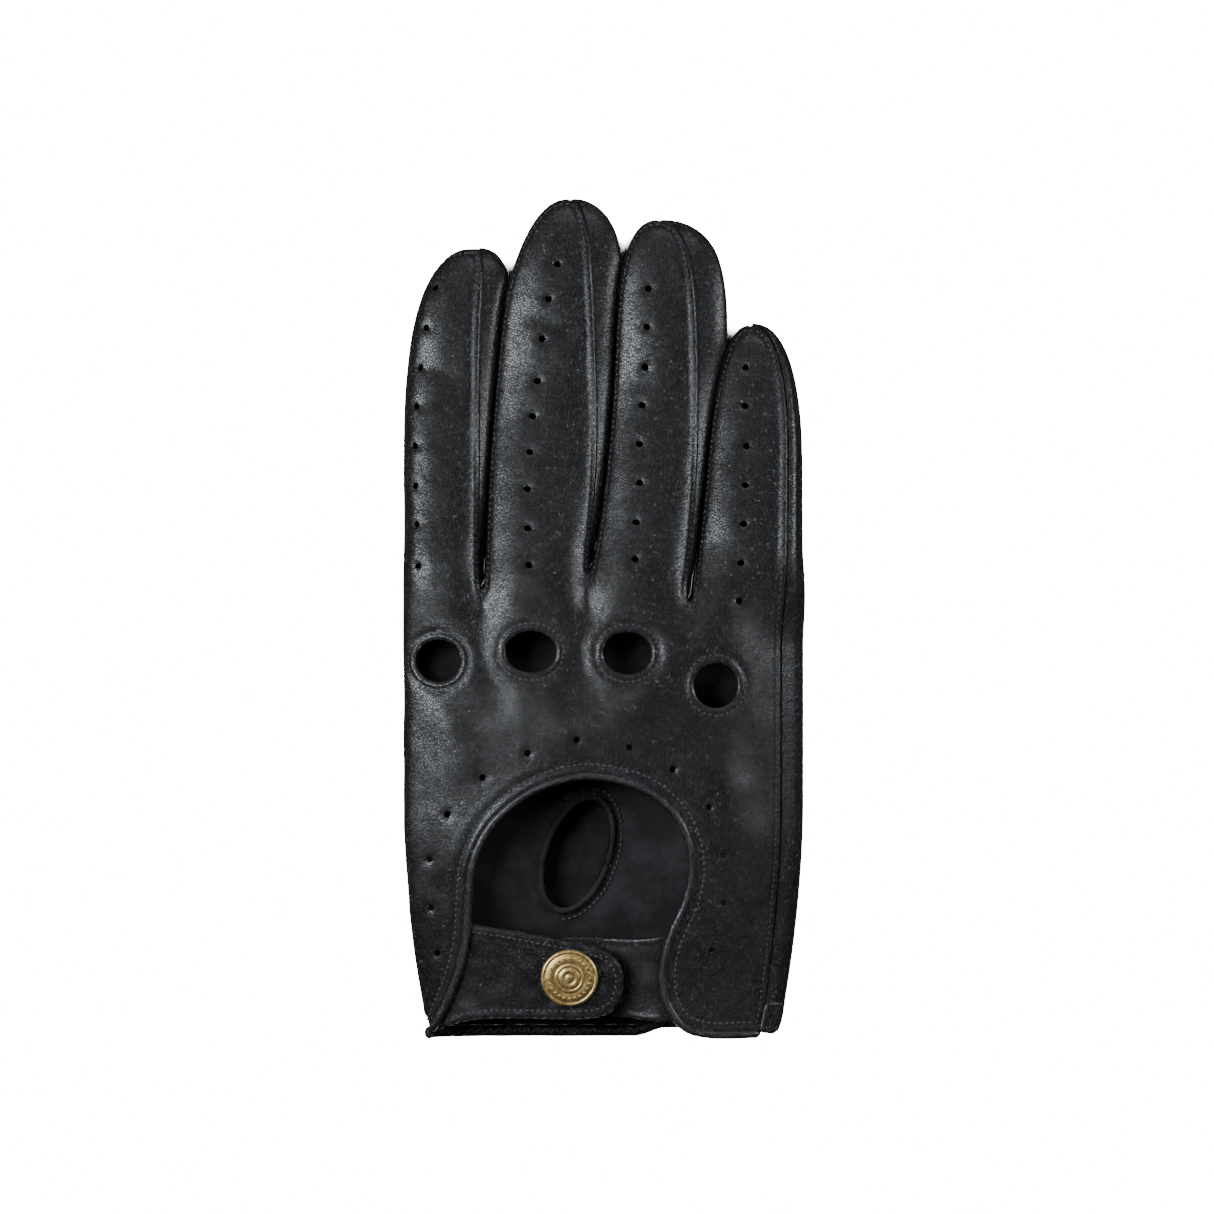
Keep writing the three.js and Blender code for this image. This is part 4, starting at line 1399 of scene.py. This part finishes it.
strap, strap_loop, strap_flat, strap_outer, strap_normals = pad(
    "strap", STRAP_LINE, 0.95, strap_middle, 2.1, 1.0, strap_relief, [OUTER, INNER])
underlap = pad(
    "underlap", UNDERLAP_LINE, 1.2, underlap_middle, 1.2, 0.7, underlap_relief, [OUTER, INNER])[0]
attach(underlap, "hand")
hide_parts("underlap")
print("strap:", len(strap_flat), "points in its pattern")


def on_strap(piece):
    """Leaves a piece where it lies, its placement baked into its points; it is joined to neither the hand
    nor the strap.
    """
    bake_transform(piece)
    return piece


on_strap(strap)
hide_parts("strap_face", "strap_lining")

# %% [markdown]
# ## Press stud
# The cap is stamped from thin brass: a rolled rim, a flat band, a raised ring and a low dome. A band of
# small beads is a plain ornament. The socket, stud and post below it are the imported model's own solids.

# %% Snap cap
# Radius and height, from the middle of the dome out over the rolled rim and back underneath.
CAP_PROFILE = [
    (0, 1.5), (0.9, 1.48), (1.15, 1.3), (1.4, 1.3), (1.6, 1.48), (2.6, 1.44), (2.8, 1.22),
    (3.05, 1.2), (3.25, 1.38), (3.6, 1.34), (3.85, 1.1), (4.1, 1.06), (4.4, 1.16), (6.2, 1.0),
    (6.4, 0.84), (6.6, 0.84), (6.8, 1.02), (7.1, 0.98), (7.38, 0.74), (7.5, 0.4), (7.42, 0.02),
    (7.2, -0.3), (6.9, -0.5), (5.5, -0.55), (0, -0.55),
]
CAP_SIDES = 96
BEADS = 24
BEAD_SIDES = 8
BEAD_LATITUDES = (0.0, 0.7, 1.25)
BEAD_CIRCLE = 5.35
BEAD_RADIUS = 0.42
BEAD_HEIGHT = 0.32


def snap_frame():
    """Middle of the cap's seat and the direction square to the strap there."""
    x, y = np.array([SNAP[0]]), np.array([SNAP[1]])
    slope_x = (top_height(x + 1, y) - top_height(x - 1, y))[0] / 2
    slope_y = (top_height(x, y + 1) - top_height(x, y - 1))[0] / 2
    return np.array([*SNAP, top_height(x, y)[0]]), Vector((-slope_x, -slope_y, 1)).normalized()


def circle_angles(count):
    return [2 * math.pi * k / count for k in range(count)]


def bead(angle):
    """Points of one small bead on the cap's band, from its foot to its top."""
    points = []
    for latitude in BEAD_LATITUDES:
        r = BEAD_RADIUS * math.cos(latitude)
        z = 1.0 + BEAD_HEIGHT * math.sin(latitude)
        for turn in circle_angles(BEAD_SIDES):
            x = BEAD_CIRCLE * math.cos(angle) + r * math.cos(turn)
            y = BEAD_CIRCLE * math.sin(angle) + r * math.sin(turn)
            points.append((x, y, z))
    return points


def snap_cap():
    """The cap turned from its profile, with its beads, square to the strap."""
    middle, up = snap_frame()
    turn = Vector((0, 0, 1)).rotation_difference(up).to_matrix()
    points = [
        (max(r, 0.02) * math.cos(a), max(r, 0.02) * math.sin(a), z)
        for r, z in CAP_PROFILE
        for a in circle_angles(CAP_SIDES)
    ]
    rings = len(CAP_PROFILE)
    faces = [(a, d, c, b) for a, b, c, d in tube_faces(0, rings, CAP_SIDES)]
    faces += [tuple(range(CAP_SIDES)), tuple(range((rings - 1) * CAP_SIDES, rings * CAP_SIDES))[::-1]]
    for angle in circle_angles(BEADS):
        start = len(points)
        points += bead(angle)
        faces += tube_faces(start, len(BEAD_LATITUDES), BEAD_SIDES)
        faces.append(tuple(range(len(points) - BEAD_SIDES, len(points))))
    placed = [np.array(turn @ Vector(p)) + middle for p in points]
    piece = new_piece("snap_cap_domed", placed, faces, None, [BRASS])
    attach(piece, "strap")
    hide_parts("snap_cap")


snap_cap()
for name in ("snap_socket", "snap_stud", "snap_post"):
    for place in frame["nodes"][name].material_slots:
        place.material = STEEL
print("snap cap:", made["snap_cap_domed"], "faces")

# %% [markdown]
# ## Elastic and strip end
# A woven elastic tape is zigzagged inside the palm side of the cuff. The side strip's end is turned over
# into a small pad beside the cuff.

# %% Tape and tab
TAPE_EDGES = (13.5, 21.5)
TAPE_TURN = (212, 318)
TAPE_STEPS = 90
TAPE_THICK = 0.5


def inner_tape():
    """The tape lies on the palm's inner face, with slight waves where the zigzag pulls it."""
    y = np.linspace(*TAPE_EDGES, 9)
    turn = np.linspace(*TAPE_TURN, TAPE_STEPS)
    rows = [hand_point(np.full(TAPE_STEPS, v), turn) for v in y]
    points = np.stack(rows, 0).reshape(-1, 3)
    triangles = grid_triangles(len(y), TAPE_STEPS)
    lift_off = 1.35 + 0.18 * np.sin(np.tile(turn, len(y)) * 3.1)
    points, triangles, normals = outward(points, triangles, np.zeros(len(points)), (0, 0, 1))
    points = points + normals * lift_off[:, None]
    both, faces, both_normals, _ = thicken(points, triangles, normals, TAPE_THICK)
    piece = new_piece("cuff_elastic", both, faces, both_normals, [TAPE])
    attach(piece, "hand")
    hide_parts("wrist_elastic")


inner_tape()
TAB_LINE = [(40.6, 2.0), (45.4, 2.2), (47.3, 9.4), (46, 10), (42.6, 9.8), (41.4, 6)]


def tab_middle(x, y):
    """The tab lies along the rounded side of the hand."""
    z, a, b = hand_section(y)
    return z + b * (1 - np.clip(x / (a + 1.2), 0, 0.985) ** SECTION) ** (1 / SECTION) - 0.4


def tab_relief(flat, away):
    return -0.2 * bell(away, 1.5, 0.3)


tab = pad("side_strip_end", TAB_LINE, 0.8, tab_middle, 1.8, 0.8, tab_relief, [OUTER, INNER])[0]
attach(tab, "hand")
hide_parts("side_strip_tab")
print("elastic:", made["cuff_elastic"], "faces; strip end:", made["side_strip_end"])

# %% [markdown]
# ## Thumb
# The thumb is a flattened stall folded under the palm. It rolls about a line beside its hole when it is
# swung out, but the stall made here is not joined to either body.

# %% Thumb stall
THUMB_BASE, THUMB_LENGTH = np.array([-12.0, 32.0]), 74
THUMB_WIDTH, THUMB_HEIGHT = (30, 25), 7.9
THUMB_ROWS, THUMB_AROUND = 90, 72
THUMB_SQUARENESS = 0.62
THUMB_TOP = 7.4


def thumb_stall():
    """A closed, flattened tube with its mouth cut out where it meets the palm's hole."""
    ahead = np.array([math.sin(THUMB_ANGLE), math.cos(THUMB_ANGLE)])
    side = np.array([ahead[1], -ahead[0]])
    s = THUMB_LENGTH * (1 - np.cos(np.linspace(0.09, math.pi - 0.09, THUMB_ROWS))) / 2
    root = np.clip(1 - s / 14, 0, 1)
    tip = np.clip(1 - (THUMB_LENGTH - s) / 20, 0, 1)
    share = np.maximum(0.04, np.sqrt(1 - np.maximum(root, tip) ** 2))
    half = mix(*THUMB_WIDTH, s / THUMB_LENGTH) / 2 * share
    turn = np.linspace(0, 2 * math.pi, THUMB_AROUND, endpoint=False)
    c, q = np.cos(turn), np.sin(turn)
    flat = np.sign(c) * np.abs(c) ** THUMB_SQUARENESS
    tall = np.sign(q) * np.abs(q) ** THUMB_SQUARENESS
    x = THUMB_BASE[0] + s[:, None] * ahead[0] + (half[:, None] * flat) * side[0]
    y = THUMB_BASE[1] + s[:, None] * ahead[1] + (half[:, None] * flat) * side[1]
    z = THUMB_HEIGHT / 2 - TABLE_SINK + THUMB_HEIGHT / 2 * np.sqrt(share)[:, None] * tall
    points = np.stack([x, y, np.maximum(LOWEST, z)], -1).reshape(-1, 3)
    triangles = halved(tube_faces(0, THUMB_ROWS, THUMB_AROUND))
    middle = points[triangles].mean(1)
    mouth = inside(middle[:, :2], thumb_oval(1.6, 60))
    triangles = triangles[~(mouth & (middle[:, 2] > THUMB_HEIGHT / 2))]
    normals = normals_of(points, triangles)
    if ((points[:, 2] - 3.5) * normals[:, 2]).mean() < 0:
        triangles, normals = triangles[:, ::-1], -normals
    seam = np.tile(bell(np.abs(c), 1, 0.05), THUMB_ROWS)
    points = points + normals * (0.25 * seam - 0.15 + 0.25 * ripple(points, 9, 6))[:, None]
    points[:, 2] = np.clip(points[:, 2], LOWEST, THUMB_TOP)
    both, faces, both_normals, inner = thicken(points, triangles, normals_of(points, triangles), 0.9)
    piece = new_piece("thumb_stall", both, faces, both_normals, [OUTER, INNER], inner)
    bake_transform(piece)
    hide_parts("thumb_front", "thumb_back")


thumb_stall()
print("thumb:", made["thumb_stall"], "faces")

# %% [markdown]
# ## Stitches
# Each stitch is a short bead of thread pulled down into the leather, one and a half millimetres from the
# next. Rows run beside every turned edge, round each knuckle hole and round the keyhole. They belong to the
# same part as the leather they hold.

# %% Thread
PITCH = 1.55
STITCH_SIDES = 6
# How far along a stitch, from its middle to its ends, each ring of points is, and how wide.
STITCH_RINGS = [(-1.0, 0.25), (-0.72, 0.8), (0, 1.0), (0.72, 0.8), (1.0, 0.25)]
STITCH_LEEWAY = 0.94


def stitch_mesh(name, centres, directions, normals, half=0.55, radius=0.3):
    """One mesh of many small rounded stitches."""
    points, faces = [], []
    for p, d, n in zip(centres, directions, normals):
        d = d / np.linalg.norm(d)
        s = np.cross(n, d)
        start = len(points)
        for along, wide in STITCH_RINGS:
            sink = -0.16 * abs(along) ** 2
            for a in circle_angles(STITCH_SIDES):
                across = s * math.cos(a) * radius * wide
                upward = n * (math.sin(a) * radius * 0.9 * wide + sink)
                points.append(p + d * along * half + across + upward)
        faces += tube_faces(start, len(STITCH_RINGS), STITCH_SIDES)
        faces.append(tuple(range(start, start + STITCH_SIDES))[::-1])
        faces.append(tuple(range(len(points) - STITCH_SIDES, len(points))))
    return new_piece(name, points, faces, None, [THREAD])


def beside(loop, amount, lines, sign=1):
    """The row of points this far inside a loop, without the stretches that come too near another edge."""
    row = loop + plan_normals(loop) * amount * sign
    good = distance_to(row, lines) > amount * STITCH_LEEWAY
    runs, current = [], []
    for p, keep in zip(row, good):
        if keep and (not current or np.linalg.norm(p - current[-1]) < 3):
            current.append(p)
        else:
            if len(current) > 3:
                runs.append(np.array(current))
            current = [p] if keep else []
    if len(current) > 3:
        runs.append(np.array(current))
    return [even(run, PITCH) for run in runs]


def back_stitches():
    """Rows along the back's edges, round its knuckle holes and beside the keyhole."""
    rows = beside(back_loop, 1.5, [seam_line])
    rows = [run[distance_to(run, [keyhole_line]) > 2.4] for run in rows]
    for hole in holes:
        ring = closed(hole)
        rows += [even(closed(beside(hole, 2.0, [ring], -1)[0][:-1]), PITCH)[:-1]]
    rows += beside(keyhole_line[::-1], 3.1, [keyhole_line])
    rows += beside(keyhole_line, 3.1, [keyhole_line])
    parts = {}
    for run in rows:
        run = run[inside(run, back_loop)] if len(run) else run
        if len(run) < 3:
            continue
        base = lay_all(run)
        direction = np.gradient(base, axis=0)
        normals = back_normals[nearest(back_tree, run)]
        centres = base + normals * (back_height(run) + 0.06)[:, None]
        for p, d, n, place in zip(centres, direction, normals, places_of(run)):
            parts.setdefault(place, []).append((p, d, n))
    count = 0
    for place, items in sorted(parts.items()):
        c, d, n = (np.array(v) for v in zip(*items))
        join_bodies(stitch_mesh(f"stitches_{place}", c, d, n), place)
        count += len(items)
    return count


def strap_stitches():
    """One row round the strap, raised onto its outer face."""
    tree = plan_tree(strap_flat)
    runs = beside(strap_loop, 2.1, [closed(strap_loop)])
    items = []
    for run in runs:
        near = nearest(tree, run)
        z = strap_outer[near]
        n = strap_normals[near]
        height = z[:, 2] - ((run - z[:, :2]) * n[:, :2]).sum(1) / n[:, 2]
        centres = np.c_[run, height] + n * 0.05
        direction = np.gradient(centres, axis=0)
        items += [(p, d, m) for p, d, m in zip(centres, direction, n) if p[0] > -40]
    c, d, n = (np.array(v) for v in zip(*items))
    on_strap(stitch_mesh("stitches_strap", c, d, n))
    return len(items)


def hem_stitches():
    """A zigzag along the hem."""
    line = even(hem_line[HEM_SEWN], 1.25)
    line[:, 2] += 0.95
    line[:, 1] += np.where(np.arange(len(line)) % 2, 0.85, -0.75)
    centres = (line[1:] + line[:-1]) / 2
    direction = line[1:] - line[:-1]
    up = np.tile([0, 0, 1.0], (len(centres), 1))
    piece = stitch_mesh("stitches_hem", centres, direction, up, 0.95, 0.16)
    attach(piece, "hand")
    return len(centres)


def thumb_seam_stitches():
    """Two rows beside the thumb's hole, on the palm's inner face."""
    items = []
    for grow in (1.9, 3.3):
        ring = even(closed(thumb_oval(grow, 120)), PITCH)[:-1]
        base = lay_all(ring, top=False)
        base[:, 2] += LEATHER + 0.12
        direction = np.gradient(base, axis=0)
        items += [(p, d) for p, d in zip(base, direction) if p[0] > -12]
    c, d = (np.array(v) for v in zip(*items))
    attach(stitch_mesh("stitches_thumb_seam", c, d, np.tile([0, 0, 1.0], (len(c), 1))), "hand")
    return len(items)


def bar_tacks():
    """Short slanting rows that fasten the side strip."""
    items = []
    for y in (85.5, 88.4, 96.3):
        for t in np.linspace(0, 1, 5):
            height = y + 1.6 * t
            seam_x = hand_edge(np.array([height]), True, True)[0]
            s = np.array([mix(seam_x + 0.2, HALF - 1.6, t)])
            p = on_hand(s, np.array([height]), True)[0]
            items.append((p + (0, 0, 0.35), np.array([1, 0.35, -0.35]), np.array([0.45, 0, 0.9])))
    c, d, n = (np.array(v) for v in zip(*items))
    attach(stitch_mesh("stitches_bar_tacks", c, d, n, 0.6, 0.22), "hand")


bar_tacks()
print("stitches:", back_stitches(), strap_stitches(), hem_stitches(), thumb_seam_stitches())

# %% [markdown]
# ## The table and the light
# The glove lies on a sheet at table height that the camera sees through, except for a painted contact
# shadow close under the glove. The pale backdrop behind stays even, and anything that is turned below the
# table in a pose can still be seen. A large soft light on the index side draws the long highlight down each
# finger, and a weaker one fills the other side.

# %% Stage
CAMERA_HEIGHT = 1.8
VIEW_WIDTH = 0.3187
VIEW_CENTRE = (0.0009, 0.0033)
CAMERA_FOCUS = 0.012
WHITE = 24.0
ROOM_LIGHT = 0.05


def painted_shadow_floor():
    """A sheet at table height, clear to the camera except for a painted contact shadow: a near-black patch
    where ambient occlusion finds the glove close above it.
    """
    bpy.ops.mesh.primitive_plane_add(size=0.9, location=(0, 0, -0.0004))
    floor = bpy.context.object
    floor.name = "table"
    made_material = bpy.data.materials.new("painted_contact_shadow")
    made_material.use_nodes = True
    tree = made_material.node_tree
    tree.nodes.clear()
    # Painted contact shadow: where ambient occlusion finds the glove close by, camera rays see a near-black
    # emission, and elsewhere the sheet is clear.
    near = node(tree, "ShaderNodeAmbientOcclusion", samples=32, Distance=0.022)
    dark = math_node(tree, "SUBTRACT", 1.0, near.outputs["AO"])
    deep = ramp(tree, dark, 0.58, 0.72)
    path = tree.nodes.new("ShaderNodeLightPath")
    painted_shadow_mask = math_node(tree, "MULTIPLY", deep, path.outputs["Is Camera Ray"])
    clear, shade = tree.nodes.new("ShaderNodeBsdfTransparent"), tree.nodes.new("ShaderNodeEmission")
    shade.inputs["Color"].default_value = (0.004, 0.004, 0.004, 1)
    blend, out = tree.nodes.new("ShaderNodeMixShader"), tree.nodes.new("ShaderNodeOutputMaterial")
    tree.links.new(painted_shadow_mask, blend.inputs[0])
    tree.links.new(clear.outputs[0], blend.inputs[1])
    tree.links.new(shade.outputs[0], blend.inputs[2])
    tree.links.new(blend.outputs[0], out.inputs[0])
    floor.data.materials.append(made_material)


def world(seen, lit):
    """A pale backdrop for the camera, and a dimmer, even room for the light."""
    scene_world = bpy.data.worlds.new("pale_room")
    bpy.context.scene.world = scene_world
    scene_world.use_nodes = True
    tree = scene_world.node_tree
    background = tree.nodes["Background"]
    path = tree.nodes.new("ShaderNodeLightPath")
    strength = math_node(tree, "MULTIPLY_ADD", path.outputs["Is Camera Ray"], seen - lit, lit)
    tree.links.new(strength, background.inputs["Strength"])
    background.inputs["Color"].default_value = (1, 1, 1, 1)


def soft_light(name, place, size, power, target=(0, 0, 0.01)):
    """A rectangular light, slightly blue, that points at the glove."""
    data = bpy.data.lights.new(name, "AREA")
    data.shape, data.size, data.size_y, data.energy = "RECTANGLE", size[0], size[1], power
    data.color = (0.92, 0.96, 1.0)
    light = bpy.data.objects.new(name, data)
    light.location = place
    light.rotation_euler = (Vector(target) - Vector(place)).to_track_quat("-Z", "Y").to_euler()
    bpy.context.scene.collection.objects.link(light)


painted_shadow_floor()
world(WHITE, ROOM_LIGHT)
soft_light("index_side_softbox", (-0.68, 0.15, 0.76), (0.3, 0.9), 18)
soft_light("little_side_fill", (0.9, 0.25, 0.5), (0.16, 0.7), 8)
soft_light("fingertip_side", (0.1, 0.95, 0.8), (0.6, 0.25), 3)
soft_light("under_fill", (0.1, -0.3, -0.8), (0.6, 0.6), 6)

camera_data = bpy.data.cameras.new("camera")
camera = bpy.data.objects.new("camera", camera_data)
bpy.context.scene.collection.objects.link(camera)
camera.location = (*VIEW_CENTRE, CAMERA_HEIGHT)
camera_data.sensor_width = 36
camera_data.lens = camera_data.sensor_width * (CAMERA_HEIGHT - CAMERA_FOCUS) / VIEW_WIDTH
bpy.context.scene.camera = camera
print("lights:", len(bpy.data.lights), "- lens:", round(camera_data.lens), "mm")

# %% Print the sizes and finish
print("pieces:", len(made), "faces:", sum(made.values()))
